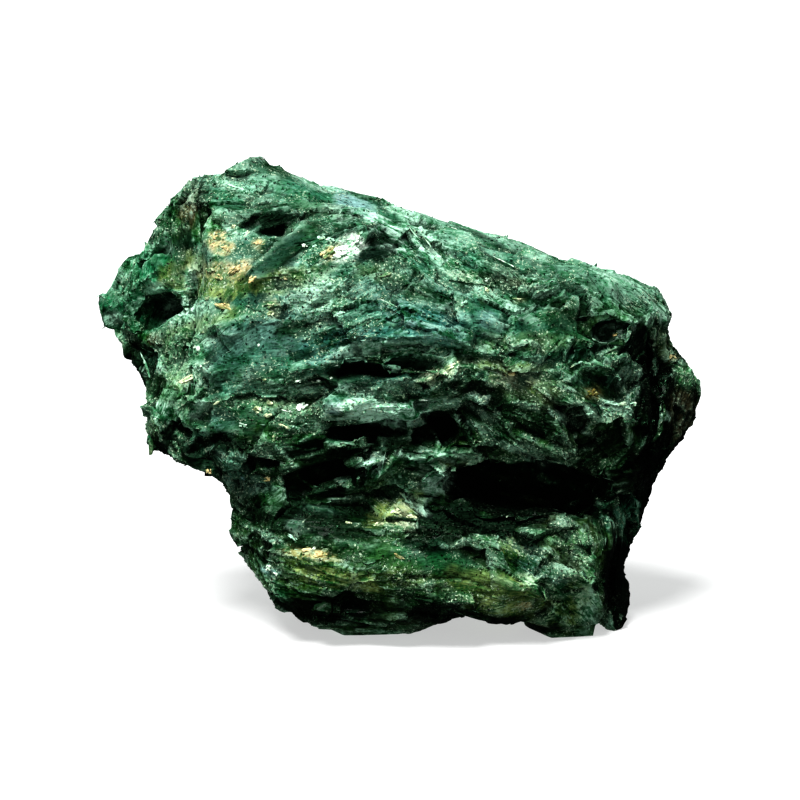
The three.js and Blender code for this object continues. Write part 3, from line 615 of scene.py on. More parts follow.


# The patches of colour on the front: an oval patch each, then its tone and how strong it is. Black and deep
# green patches are partly painted shade, mint, silver and white ones partly painted light on places in
# shade.
patches = [
    # broad light and dark: tones, with painted shade in the recess and under the ledges
    (4, -16, 24, 8, -6, "moss", 0.7), (15, -2, 16, 9, -20, "moss", 0.4), (-2, 7, 26, 7, -10, "sea", 0.3),
    (-7, -12, 10, 3.4, -6, "deepGreen", 0.9), (9, -12.4, 12, 3.4, -4, "deepGreen", 0.85),
    (-8.4, -12, 5, 2.6, -10, "black", 0.6), (9, -12, 10, 1.7, -4, "black", 0.9),
    (3, -19.6, 4, 2.4, 0, "deepGreen", 0.8), (-12, -10, 2.4, 1.4, 0, "deepGreen", 0.9),
    (-12.2, -7, 1.4, 1, 0, "deepGreen", 0.9), (-4, -5, 2.4, 0.8, -6, "deepGreen", 0.9),
    (-11, -6.6, 3, 0.9, -14, "black", 0.5), (-7.6, -20.6, 3, 1, 0, "black", 0.5),
    (-16, -14, 5, 4, -8, "deepGreen", 0.6), (-7, 9, 13, 6, 10, "slate", 0.4),
    (-18, 3, 3, 2.4, 0, "slate", 0.6), (10.6, -0.6, 8, 1.8, -26, "deepGreen", 0.9),
    (11, -0.8, 7, 1.1, -26, "black", 0.45), (0.4, -4.8, 3, 0.8, 0, "black", 0.6),
    (3, -21.4, 12, 2, -4, "black", 0.6), (-17.6, -4.6, 3.4, 1.6, -20, "black", 0.9),
    (17, 9.4, 3, 1, 0, "deepGreen", 0.7), (8, -15.6, 12, 1.4, -6, "deepGreen", 0.5),
    (-5, -10.8, 11, 2.2, -3, "deepGreen", 0.9), (-5, -11.4, 9, 1.2, -3, "black", 0.35),
    (-1, 18, 16, 4, -20, "teal", 0.45), (13, 14, 12, 3, -26, "teal", 0.3),
    (-24, 12, 6, 6, 40, "emerald", 0.6),
    # crest and upper band: the mint and silver are partly painted highlight, the black partly painted shade
    (-14.8, 23.8, 2.4, 1.4, 0, "black", 0.6), (-18.4, 22, 2, 0.6, 15, "mint", 0.4),
    (-19.4, 21.2, 1.2, 1, 0, "deepGreen", 0.6), (-12, 22.8, 2, 1, -20, "deepGreen", 0.7),
    (-13, 21, 4, 1.4, -18, "mint", 0.5), (-15, 20.4, 6.5, 2.6, -20, "teal", 0.4),
    (-16.4, 21, 2.4, 0.5, -30, "mint", 0.6), (-9.6, 21.2, 2.4, 1.4, -10, "teal", 0.8),
    (-4.6, 19.6, 2.4, 1, -24, "blueTeal", 0.95), (-5.6, 18.6, 1.6, 0.8, -10, "mint", 0.6),
    (-4, 20.6, 2, 0.3, -24, "deepGreen", 0.7), (-7.5, 19, 3, 0.8, -15, "olive", 0.3),
    (-12, 19.4, 5, 0.5, -16, "deepGreen", 0.6), (0, 20.4, 3, 1.2, -25, "green", 0.5),
    (2, 16.5, 4.6, 1, -50, "mint", 0.75), (0.6, 16, 4.4, 0.4, -52, "black", 0.5),
    (-1.0, 16.4, 2.8, 1.2, -40, "silver", 0.85), (3.6, 15, 2.2, 1, -50, "silver", 0.8),
    (3.4, 17.2, 3.6, 0.4, -50, "black", 0.6), (5, 17.2, 7, 1.4, -27, "mint", 0.6),
    (10, 15.9, 5, 0.9, -24, "mint", 0.5), (8, 16.4, 5, 0.3, -27, "deepGreen", 0.7),
    (10, 13.4, 2.4, 0.6, -28, "mint", 0.6), (11.4, 12.6, 4, 0.9, -24, "deepGreen", 0.8),
    (16, 13, 6, 1, -26, "mint", 0.3), (23, 10.6, 3.4, 2, -45, "mint", 0.3),
    (21.4, 12.5, 3, 0.7, -25, "mint", 0.6), (16.8, 9.3, 2, 0.9, 0, "deepGreen", 0.7),
    (22, 8, 2.6, 1.8, 0, "green", 0.7), (5, 13.2, 3, 1, -30, "mint", 0.5),
    # left end, with painted shade in its hollow and along its outer edge
    (-21.3, 19.6, 1.2, 2.6, 0, "brown", 0.9), (-20, 19.4, 0.45, 2.4, -5, "black", 0.8),
    (-21.6, 16, 0.9, 2, 0, "black", 0.9), (-23.6, 16.6, 1.6, 3, 0, "deepGreen", 0.6),
    (-25, 12.2, 3.2, 2.6, 35, "emerald", 0.8), (-29, 9, 2, 2, 40, "emerald", 0.8),
    (-29, 8.4, 1.4, 0.8, 0, "mint", 0.6), (-27.8, 12.4, 1.2, 0.8, 40, "mint", 0.5),
    (-26.6, 9, 1.2, 1.4, 40, "black", 0.9), (-24.6, 9.6, 3, 2.2, 20, "emerald", 0.9),
    (-22.2, 9, 1.6, 1, 20, "mint", 0.8), (-20.7, 12, 0.9, 1.4, 10, "silver", 0.8),
    (-23, 12.4, 1.2, 1.2, 0, "yellowGreen", 0.8), (-26.6, 4, 1.8, 4, -60, "black", 0.9),
    (-24.6, 3, 0.4, 1.4, -70, "mint", 0.6), (-24.6, 6.2, 1.4, 0.6, 10, "brown", 0.6),
    # ochre corner
    (-19.5, 16.4, 1, 3, 0, "green", 0.5), (-16.6, 17, 1.2, 1, 0, "mint", 0.6),
    (-18.2, 15.6, 1.4, 1.1, -35, "ochre", 0.9), (-14.2, 15.6, 0.7, 0.5, 20, "ochre", 0.9),
    (-16.3, 13.1, 1.2, 0.6, 35, "ochre", 0.95), (-19.4, 12.4, 1.2, 1, 10, "ochre", 0.45),
    (-14.6, 12.1, 0.8, 0.4, 30, "ochre", 0.85), (-17.6, 11.3, 3.4, 1.4, 0, "yellowGreen", 0.9),
    (-14, 10.5, 1.1, 0.8, 0, "black", 0.7), (-17.2, 9.2, 1.2, 0.6, -20, "ochre", 0.65),
    (-12.8, 9, 0.6, 1, 0, "cream", 0.8), (-18.6, 8, 5.4, 1.2, 14, "green", 0.8),
    (-20.8, 12.4, 2.2, 2.2, 0, "yellowGreen", 0.9), (-20.8, 12.6, 1.2, 1.2, 0, "cream", 0.6),
    (-20.4, 8, 3.4, 1.8, 20, "mint", 0.5), (-21.6, 4.4, 1.6, 1.6, 0, "mint", 0.8),
    (-20.2, -0.9, 1.6, 1.2, 0, "mint", 0.8), (-17.6, 6, 2.4, 1, 14, "mint", 0.6),
    (-24, -1, 1.1, 1.4, 0, "mint", 0.8), (-17, -6.2, 1.6, 0.9, -30, "teal", 0.8),
    (-16.8, 1.8, 1.4, 0.6, 0, "deepGreen", 0.6), (-18.6, 13.2, 1.6, 0.9, 10, "ochre", 0.6),
    (-13.4, 0.8, 4, 0.8, -4, "teal", 0.7), (-20, 7.6, 4, 0.7, 16, "yellowGreen", 0.4),
    (-19.6, 14, 1.2, 2, 0, "slate", 0.5),
    # hollow and diagonal blade, with painted shade in the hollow and along the blade's lower side
    (-14, 18.4, 2.6, 1, -10, "deepGreen", 0.6), (-12.4, 17.9, 2.2, 1.2, 15, "black", 0.92),
    (-9.4, 18.4, 2.4, 0.5, 18, "black", 0.7), (-12, 14.8, 5.4, 1.25, 43, "deepGreen", 0.9),
    (-12, 14.8, 4.8, 0.8, 43, "dusk", 0.8), (-11.3, 13.7, 4, 0.5, 43, "black", 0.7),
    (-12.8, 15.7, 4, 0.3, 43, "black", 0.6), (-11, 12, 4.4, 1.1, 10, "yellowGreen", 0.6),
    (-8, 8.6, 3, 1.2, -30, "mint", 0.35), (-7.6, 10.8, 2.6, 2.2, 20, "mint", 0.6),
    (-2.4, 15.2, 2.2, 1.9, 10, "black", 0.9), (-4.8, 16.9, 3, 0.4, 14, "black", 0.8),
    (-8, 17.3, 3, 0.9, 10, "deepGreen", 0.6), (-5.1, 15.2, 1.8, 0.95, 36, "white", 0.95),
    (-7, 14.7, 1.1, 0.7, 40, "ochre", 0.9), (-2, 12.6, 3, 0.8, -10, "olive", 0.5),
    # face, with painted shade in its slit and painted light where it lies in shade
    (-14.4, 5.4, 6, 2.6, 12, "slate", 0.95), (-11.4, 6.9, 1.2, 1, 0, "black", 0.3),
    (-14.6, 4.3, 2.6, 0.8, 25, "teal", 0.6), (-9, 4.4, 4, 1.2, 20, "teal", 0.4),
    (-21.6, 4.6, 2.2, 1.8, 0, "green", 0.8), (-21.5, 2.4, 2.6, 1.2, 10, "yellowGreen", 0.3),
    (-10.6, 0.8, 4, 0.5, -3, "mint", 0.8), (-3.8, 1.7, 1.6, 0.7, 0, "black", 0.8),
    (-8, 2, 6, 0.6, 5, "deepGreen", 0.7), (-3.4, 6, 5, 1.6, 4, "sea", 0.6),
    (3.6, 7.6, 4.4, 2, -14, "sea", 0.6), (-8, 5, 3, 1.4, 20, "sea", 0.4),
    (-0.8, 9, 2.4, 0.9, -28, "blueTeal", 0.75), (3.6, 6.8, 2.8, 1, -14, "blueTeal", 0.5),
    (6.6, 6.4, 1.4, 0.9, -10, "black", 0.5), (9, 8, 1.8, 0.9, -35, "blueTeal", 0.55),
    (9, 6.6, 2, 0.35, -20, "black", 0.7), (-3, 2.9, 4.4, 0.8, 4, "black", 0.95),
    (2.4, 10.4, 4, 1.2, -20, "slate", 0.4), (8.6, 12, 5, 0.6, -8, "cream", 0.4),
    (11.6, 10, 0.9, 0.3, 0, "ochre", 0.4), (9.2, 10.4, 2, 0.8, -25, "mint", 0.6),
    (12.4, 8.4, 1.8, 0.6, -25, "mint", 0.6), (1.6, 11, 1.6, 1.2, -20, "deepGreen", 0.6),
    (10.6, 12.5, 1.4, 0.7, -20, "deepGreen", 0.6), (12.4, 9.8, 1.4, 0.7, -30, "deepGreen", 0.6),
    (12, -0.4, 1.4, 1.2, -30, "deepGreen", 0.7), (17.4, 8, 3.2, 1.2, 4, "black", 0.7),
    (21.6, 6.9, 2.4, 0.8, 15, "mint", 0.9), (12, 5.6, 6, 1, 4, "olive", 0.4),
    (4, 2.6, 2.6, 0.7, 24, "cream", 0.6), (-1.6, 5.1, 4.4, 0.9, 2, "mint", 0.9),
    (6.7, 4, 1, 0.8, 0, "mint", 0.8), (5, 4.2, 5, 0.9, 4, "mint", 0.4),
    (10, 3.4, 5, 0.7, -8, "yellowGreen", 0.5), (10, 7, 1.4, 0.8, -20, "deepGreen", 0.6),
    (-10, 7.2, 2, 0.8, 15, "deepGreen", 0.5), (11.2, 2.2, 2.8, 0.9, -4, "yellowGreen", 0.9),
    (11, 2.2, 2.2, 0.7, -4, "cream", 0.9), (23, 2, 1.2, 2, -10, "mint", 0.4),
    (11, 2.4, 1, 0.7, 10, "ochre", 0.75), (13, 1.4, 4.4, 1.8, -24, "olive", 0.75),
    (13, 0.8, 3, 0.4, -26, "yellowGreen", 0.6), (19.4, 0.8, 1.2, 0.8, 0, "rust", 0.8),
    (20.6, -1, 3.2, 0.9, 4, "mint", 0.6), (19, 3.2, 3, 1, 5, "green", 0.5),
    (8.6, 0.6, 1.6, 1.2, -30, "black", 0.85), (14.8, -1.6, 1.4, 2.4, -20, "black", 0.8),
    (17.4, -2.4, 3, 0.4, -30, "mint", 0.4), (9, -2, 2.4, 0.3, -34, "mint", 0.5),
    (14.6, -5.6, 3, 0.4, -30, "mint", 0.4),
    # middle ledges: painted shade in the recess and under the ledges, painted light on blades that lie in
    # shade
    (-24, 0.6, 1.6, 2.4, 0, "green", 0.9), (-21, -0.4, 1.8, 1.4, 0, "green", 0.6),
    (-20.9, 2.2, 1.3, 0.4, 22, "cream", 0.9), (-22.9, -3.6, 1, 1.4, 0, "black", 0.95),
    (-23.6, -4.2, 1.8, 1.2, 0, "black", 0.85), (-19.6, -3.4, 1.4, 1.4, 0, "deepGreen", 0.6),
    (-17.6, -2, 2.2, 1, -5, "slate", 0.8), (-18.6, -6.2, 4, 1.2, -25, "black", 0.8),
    (-12, -1.6, 4.4, 2.2, -10, "green", 0.7), (-12, -0.4, 4, 0.5, -8, "yellowGreen", 0.4),
    (-3.4, 0.7, 3.4, 0.6, -10, "mint", 0.4), (-2, -1.2, 4.6, 1.2, -5, "mint", 0.95),
    (-2.4, -1.2, 4.2, 0.7, -5, "mint", 0.8), (-0.3, -1.5, 2.2, 0.9, -5, "silver", 0.8),
    (3.4, -0.4, 4, 0.6, 5, "mint", 0.7), (-6.5, -0.7, 1.2, 0.8, -10, "blueTeal", 0.95),
    (-3.4, -3.3, 5, 0.9, -3, "black", 0.9), (4.4, -2.8, 2.8, 1.6, 10, "black", 0.9),
    (4.6, -5.6, 2.2, 0.6, -8, "mint", 0.6), (0.4, -4.8, 1.6, 0.9, 0, "black", 0.8),
    (-8, -5.6, 5.4, 1.6, -8, "black", 0.8), (-3.1, -6.6, 1.3, 1.1, 30, "silver", 0.9),
    (3.4, -7.2, 3, 0.8, -28, "mint", 0.8), (13.6, -6, 1.4, 0.6, -20, "mint", 0.6),
    (1, -8.4, 3, 2.2, 20, "slate", 0.4), (11, -4.4, 5, 1.8, -28, "deepGreen", 0.6),
    (11, -4.6, 4.4, 0.4, -28, "mint", 0.5), (8.6, -12.6, 9.4, 2.5, -5, "black", 0.93),
    (3, -13.2, 4, 1.5, -8, "black", 0.9), (2, -11.6, 2, 1.2, 30, "black", 0.7),
    (13, -11.4, 3, 1.2, -6, "black", 0.9), (17.2, -12.6, 2, 1.6, -20, "green", 0.9),
    (1.8, -14.4, 2.6, 0.9, -6, "black", 0.8), (6, -7.4, 4, 1.4, 0, "brown", 0.4),
    (13, -9.2, 9, 3.2, -6, "black", 0.94), (14, -11, 8, 1.8, -4, "black", 0.93),
    (9.4, -7.6, 2.6, 0.35, -24, "olive", 0.5), (15.6, -8.2, 2.8, 0.3, -20, "green", 0.6),
    (12, -9.6, 2, 0.3, -10, "olive", 0.5), (18, -10.2, 1.8, 0.3, 10, "green", 0.5),
    (20.6, -4.6, 4.6, 2.6, -10, "black", 0.8), (13, -10, 1.6, 0.3, -16, "olive", 0.5),
    # lower ledge, with painted shade in its hollows and along its foot
    (-15, -8.4, 3, 1, -8, "slate", 0.6), (-14.5, -11.4, 1.4, 1, -10, "black", 0.85),
    (-7.8, -11, 1.8, 0.6, -10, "dusk", 0.7), (-8, -8.8, 4, 1, 4, "black", 0.7),
    (-8.6, -12.6, 4.4, 1.7, -8, "black", 0.85), (-3.6, -13.4, 2, 0.8, -10, "black", 0.5),
    (-0.4, -10.8, 2.6, 1.2, 25, "yellowGreen", 0.9), (0.4, -10.6, 1.6, 0.7, 40, "cream", 0.7),
    (1.2, -9.9, 2, 0.5, -42, "mint", 0.7), (-10.6, -15.2, 2.6, 0.6, -4, "ochre", 0.55),
    (-8, -16, 5, 1.2, -12, "olive", 0.5), (-2, -15.4, 6, 1.2, -10, "green", 0.4),
    (4, -16, 6, 1.4, -18, "emerald", 0.5), (-13.1, -17.1, 0.9, 0.5, -20, "blueTeal", 0.9),
    (6, -19.4, 8, 1.2, -15, "olive", 0.8), (15, -17.4, 3.4, 1.4, -42, "blueTeal", 0.35),
    (18.6, -18.6, 1.5, 4, 0, "green", 0.8), (18.6, -20.6, 1, 2, 0, "mint", 0.7),
    (11, -14.8, 1.4, 0.7, -20, "yellowGreen", 0.7), (15.8, -16.4, 2, 0.8, -30, "deepGreen", 0.6),
    (7, -17.2, 2.6, 0.8, -20, "deepGreen", 0.5), (22.6, -11.4, 1, 1.8, 0, "teal", 0.95),
    (-8, -21, 6, 1.4, -8, "black", 0.85), (-5.8, -18, 4.4, 0.8, -10, "yellowGreen", 0.9),
    (-3.9, -16.4, 2.2, 0.7, 0, "deepGreen", 0.8), (-9, -14, 1.6, 0.6, 0, "deepGreen", 0.7),
    (11, -19, 6, 1.2, -16, "yellowGreen", 0.5), (17.6, -19.4, 1.4, 3, 0, "yellowGreen", 0.4),
    (6, -22.4, 8, 0.7, -12, "black", 0.7), (21.6, -17.6, 1.4, 4.6, 0, "black", 0.95),
    (12.6, -20.6, 0.7, 0.5, 0, "ochre", 0.6), (9.6, -20.5, 2.4, 0.8, -14, "yellowGreen", 0.9),
    (3, -20, 3.6, 1.6, -4, "deepGreen", 0.9), (2, -20.6, 3, 1, 0, "black", 0.5),
    (12, -22.6, 4, 0.8, -6, "black", 0.8), (22.8, -18.6, 1.5, 6, 0, "black", 0.95),
    # right end: the black there is painted shade
    (27.4, -6, 4.4, 14, 12, "black", 0.97), (27.4, 0, 2.4, 4, 0, "black", 0.8),
    (22, -19, 1.8, 5, 0, "black", 0.9), (24.3, 3, 0.8, 4.6, 0, "black", 0.97),
    (26.2, 5.6, 1, 1.8, 20, "olive", 0.7), (26.2, 8.8, 0.8, 1.6, 30, "mint", 0.4),
    (27.2, 4.3, 0.4, 0.5, 0, "ochre", 0.9), (28.6, 2.4, 1.3, 1.2, 45, "green", 0.95),
    (28.2, -1, 1.6, 2.2, 0, "brown", 0.5), (26, -1.6, 1.2, 5, 0, "black", 0.9),
    (24, -9, 2.4, 4, 20, "black", 0.7), (26.6, -1.7, 0.5, 0.4, 0, "mint", 0.8),
    # touches on top of the others: painted shade and painted light on single places
    (15.6, -13.5, 3.2, 0.9, -12, "green", 0.9), (8.6, -14.2, 2.4, 0.7, -8, "green", 0.7),
    (1.6, -14.6, 2.4, 0.8, -6, "black", 0.9), (-2.6, -1.1, 4.4, 1, -5, "silver", 0.9),
    (-5.8, -0.8, 1.2, 0.6, -12, "white", 0.5), (-8, -0.8, 1, 0.8, 0, "deepGreen", 0.7),
    (-0.3, -1.8, 2, 0.8, -5, "silver", 0.8), (-18, 15.8, 1.5, 0.9, -35, "ochre", 0.6),
    (-16.2, 13, 1.4, 0.7, 35, "ochre", 0.6), (-7.6, -15.6, 1.6, 0.6, -6, "ochre", 0.4),
    (22.8, 1.4, 1.2, 2.6, -10, "mint", 0.2), (22.7, -11.8, 1.1, 2, 0, "teal", 0.95),
    (-16.6, -6.8, 1.4, 0.8, -30, "teal", 0.8), (-19.8, -4, 1, 1.2, 0, "teal", 0.6),
    (-17.6, -4.2, 0.9, 1, 0, "black", 0.8), (-10.4, -12.6, 0.8, 1.1, 0, "mint", 0.25),
    (-12.4, -14.6, 1.2, 1.4, 0, "deepGreen", 0.8), (-8.7, -14.2, 1.6, 0.6, 0, "deepGreen", 0.8),
    (-2.2, -12.2, 1.6, 0.7, 8, "yellowGreen", 0.7), (0.3, -12.5, 1.4, 0.7, 0, "cream", 0.7),
    (3.9, -8.3, 1.4, 0.9, 20, "silver", 0.8), (-9.8, -2.6, 2, 0.7, 0, "mint", 0.7),
    (-13.4, 2.4, 2, 0.9, 0, "deepGreen", 0.6), (19.4, 10.2, 1, 1.6, 20, "deepGreen", 0.6),
    (23.6, 8.9, 1.6, 1, -20, "deepGreen", 0.6), (14.2, 12, 1.4, 2, 0, "mint", 0.5),
    (4.6, 9.4, 1.2, 0.8, -20, "silver", 0.5), (2, 10.5, 1.8, 1, -20, "deepGreen", 0.6),
    (10.7, 13.2, 1.6, 0.6, -25, "deepGreen", 0.7), (-14.6, 14.8, 1, 1, 0, "deepGreen", 0.7),
    (-7, 13.4, 2.2, 0.9, 0, "deepGreen", 0.5), (-8.4, 21.6, 2.2, 0.8, -16, "silver", 0.7),
    (-21.6, 21, 1, 1, 45, "mint", 0.5), (-16.6, 18.2, 1.2, 0.9, 0, "deepGreen", 0.5),
    (-24.6, 10.8, 1.4, 0.8, 20, "mint", 0.5), (-21.9, 9.3, 1.6, 1.1, 10, "silver", 0.9),
    (-20.8, 11.8, 0.9, 1.2, 0, "silver", 0.9), (-23.6, 15.4, 1, 0.8, 0, "mint", 0.7),
    (-22.3, 13.6, 1.2, 1, 0, "deepGreen", 0.5), (14.4, -18.8, 2.4, 0.7, -20, "yellowGreen", 0.7),
    (14, -21.4, 1.6, 1, -10, "olive", 0.8), (16, -16.8, 1.8, 0.8, -20, "deepGreen", 0.6),
    (-4.4, -16.4, 2, 0.8, 0, "deepGreen", 0.5), (14, -12, 3, 0.8, -6, "black", 0.9),
    (17.2, -12.2, 1.4, 1, -10, "green", 0.3), (9.4, -15.2, 1, 0.7, 0, "deepGreen", 0.8),
    (14, 12, 8, 3, -26, "deepGreen", 0.15), (-9, -14.4, 1.6, 0.5, 0, "black", 0.6),
    (18.4, -17, 1.4, 3, 0, "mint", 0.1), (15, -19, 2.4, 0.8, -20, "mint", 0.4),
    (-20, 2.6, 1.4, 1.2, 0, "silver", 0.6), (-24.6, 4, 0.8, 1, 0, "teal", 0.8),
    (-23.8, -1, 1, 1, 0, "silver", 0.6), (-26.8, 8.6, 0.9, 1.2, 0, "deepGreen", 0.5),
    (-24, 17.2, 1.4, 1, 20, "deepGreen", 0.4), (-12.8, -9.6, 1.2, 1, 0, "deepGreen", 0.6),
    (22, 4, 2, 0.8, -10, "deepGreen", 0.3), (9.5, 14.8, 7, 1.2, -20, "teal", 0.35),
    (-1.4, 8.8, 1.8, 0.9, -30, "teal", 0.4), (4, 6, 5, 1.2, -8, "teal", 0.3),
    (-18, 4, 4, 2.4, 10, "teal", 0.25), (-17, -1, 5, 1.6, 0, "teal", 0.25),
    (17, -15, 3, 4, 0, "olive", 0.2), (-20, -1, 1.2, 0.9, 0, "silver", 0.5),
    (-3, 4.6, 4.5, 0.8, 0, "silver", 0.25), (11.5, 2.2, 2.4, 0.8, 10, "mint", 0.2),
    (-5, 18.4, 1.4, 0.9, 0, "silver", 0.3), (-1, 1, 0.9, 0.8, 0, "mint", 0.7),
    (3.4, 2.4, 1.6, 0.7, 20, "cream", 0.6), (11.8, 2, 2, 0.8, 0, "cream", 0.7),
    (-3.8, 1.4, 1.6, 0.8, 0, "black", 0.7), (-6.6, -8.8, 2, 0.7, 0, "black", 0.7),
    (-11.4, -6.4, 1.6, 0.9, -20, "deepGreen", 0.8), (6.6, -5.4, 1.6, 0.8, -10, "deepGreen", 0.8),
    (-2.4, -5.2, 1.4, 0.5, -6, "black", 0.7), (12.4, -0.2, 1.8, 0.9, -30, "deepGreen", 0.7),
    (17.4, 0.6, 1, 2, 30, "deepGreen", 0.7), (-10.4, 7.2, 2, 0.8, 15, "deepGreen", 0.5),
    (-24.6, 1.8, 1.6, 1.4, -60, "black", 0.8),
]


# How strongly other tones, painted shade and painted highlights lie on the deep green ground: under
# the patches, and from the rims on over them
colouring = {
    "blotch": 6.5,       # mm, size of the broad changes of tone
    "small": 1.8,        # mm, size of the small ones
    "tiny": 0.55,        # mm, size of the crumbs that break the edges of patches
    "byBlade": 0.4,      # how far the small changes keep to single blades
    "edgeByBlade": 0.1,  # how far the edges of patches do
    "green": 0.9,
    "teal": 0.5,
    "olive": 0.4,
    "topTealSheen": 0.5,      # painted sheen: teal on what faces up
    "slateBlade": 0.4,   # on a few blades
    "mintBlade": 0.4,
    "below": 0.7,        # painted shade: deep green on what faces down
    "rightEnd": 0.8,     # painted shade on the right end: deep green, and black in places
    "rightBlack": 0.5,
    "rims": 0.3,         # painted highlight: mint on the upper rims of the large blades
    "feet": 0.6,         # painted shadow: black below them
    "ridges": 0.24,      # mint on the ridges: partly pale worn edges, partly painted highlight
    "grooves": 0.75,     # painted shade: black in the grooves
}
crumbling = ("ochre", "cream", "rust")  # tones of patches that are broken up throughout


# The colour of the stone at places, which follows its blades, with painted shade in grooves, below and on
# the right end, and painted highlights on top, rims and ridges
def stoneColourAndShade(places, normals, each, middle, fine, wide):
    toMiddle = np.clip(middle - places, -2.5, 2.5)
    across, up = seenAt(places + colouring["edgeByBlade"] * toMiddle)
    blotch = softNoise(places, colouring["blotch"], 31)
    small = softNoise(places + colouring["byBlade"] * toMiddle, colouring["small"], 32)
    tiny = softNoise(places, colouring["tiny"], 34)
    colour = np.tile(np.array(tones["deepGreen"][:3]), (len(places), 1))

    def blend(name, strength, share):
        share = np.clip(strength * share, 0, 1)[:, None]
        colour[:] = colour + share * (np.array(tones[name][:3]) - colour)

    blend("green", colouring["green"], ramp(blotch + 0.6 * small, -0.6, 0.4))
    blend("teal", colouring["teal"], ramp(-blotch + 0.5 * small, 0.1, 0.7))
    blend("olive", colouring["olive"], ramp(softNoise(places, 5.0, 33) + 0.5 * small, 0.2, 0.8))
    # painted sheen: teal on what faces up
    blend("teal", colouring["topTealSheen"], ramp(normals[:, 2], 0.35, 0.9))
    blend("slate", colouring["slateBlade"], ramp(each, 0.86, 0.95))
    blend("mint", colouring["mintBlade"], ramp(-each, -0.12, -0.02))
    # painted shade: deep green on what faces down
    blend("deepGreen", colouring["below"], ramp(-normals[:, 2], 0.2, 0.7))
    # painted shade: deep green and black on the right end, which faces away from the light
    rightEnd = ramp(normals[:, 0], 0.3, 0.7)
    blend("deepGreen", colouring["rightEnd"], rightEnd)
    blend("black", colouring["rightBlack"], rightEnd * ramp(small, -0.5, 0.3))
    front = facing(normals, -0.25, 0.1)
    # the patches lay tones, and in many places painted shade and painted light
    for *oval, name, strength in patches:
        share = inPatch(across, up, oval, 0.35 * small + 0.3 * tiny)
        if name in crumbling:
            share = share * ramp(tiny + 0.5 * small, -0.9, -0.1)
        blend(name, strength, front * share)
    _, rimHighlight, footShadow = raisedAt(places, normals)
    grooveShadeDepth = mass["grooveShadeDepth"]
    lit = ramp(colour[:, 1], 0.006, 0.08)  # ridges on dark stone stay dark
    # painted highlight on the upper rims of the large blades, painted shadow at their feet
    blend("mint", colouring["rims"], lit * rimHighlight * ramp(tiny + small, -0.4, 0.6))
    blend("black", colouring["feet"], footShadow * ramp(tiny + small, -0.6, 0.3))
    # mint on the ridges, partly pale worn edges and partly painted highlight; black in the grooves, painted
    # shade
    blend("mint", colouring["ridges"], lit * ramp(fine, 0.4 * grooveShadeDepth, 1.6 * grooveShadeDepth))
    blend("black", colouring["grooves"], ramp(-0.4 * fine - 0.5 * wide, 0.5 * grooveShadeDepth, 2.4 * grooveShadeDepth))
    return colour


# The solid, cut up finely: its outline and its front evened out, then its relief raised.
# Returns the mesh and its bundles.
def reliefMesh():
    mesh = frame["nodes"][stoneNode].data.copy()
    work = bmesh.new()
    work.from_mesh(mesh)
    bmesh.ops.remove_doubles(work, verts=work.verts, dist=1e-7)
    work.to_mesh(mesh)
    work.free()
    rough = newObject("stoneWork", mesh)
    remesh = rough.modifiers.new("remesh", "REMESH")
    remesh.mode = "VOXEL"
    remesh.voxel_size = mass["voxel"] * mm
    mesh = settled("stoneWork", rough)
    edges = readEdges(mesh)
    places = smoothed(readVectors(mesh.vertices, "co") / mm, edges, mass["settle"])
    low = ramp(places[:, 2], 0.05, 1.2)[:, None]  # 0 on the ground, so that the feet stay flat
    normals = unit(smoothed(readVectors(mesh.vertex_normals, "vector"), edges, mass["facingRounds"]))
    across, up = seenAt(places)
    heal = np.max([inPatch(across, up, patch, 0) for patch in healed], axis=0)
    heal = heal * facing(normals, -0.9, -0.5)
    places = places + heal[:, None] * (smoothed(places, edges, mass["healRounds"]) - places)
    calm = surfaceMood(places, normals)[0]
    places = places + calm[:, None] * (smoothed(places, edges, mass["calmRounds"]) - places)
    places = formed(trimmed(places, low), low[:, 0] * facing(normals, -0.6, -0.1))
    for size, share in ((3.0, 1.0), (1.2, 0.25)):
        bend = softPush(places, size, (61, 62, 63))
        places = places + mass["warp"] * share * low * (1 - 0.6 * calm[:, None]) * bend
    sheaves = makeSheaves(places, normals)
    owner = sheafOf(sheaves, places)
    height = bladesAt(sheaves, owner, places)[0]
    height *= 1 - (1 - mass["calmest"]) * calm
    facet = sheaves["facet"][owner]
    above = ((places - sheaves["seat"][owner]) * facet).sum(1) / np.maximum((facet * normals).sum(1), 0.4)
    height -= mass["facet"] * (1 - 0.7 * calm) * np.clip(above, -mass["facetDepth"], mass["facetDepth"])
    height -= mass["inset"]
    height += raisedAt(places, normals)[0]
    moveTo(mesh, (places + height[:, None] * low * normals) * mm)
    print("mass: relief on", len(places), "points,", len(sheaves["seat"]), "bundles")
    return mesh, sheaves


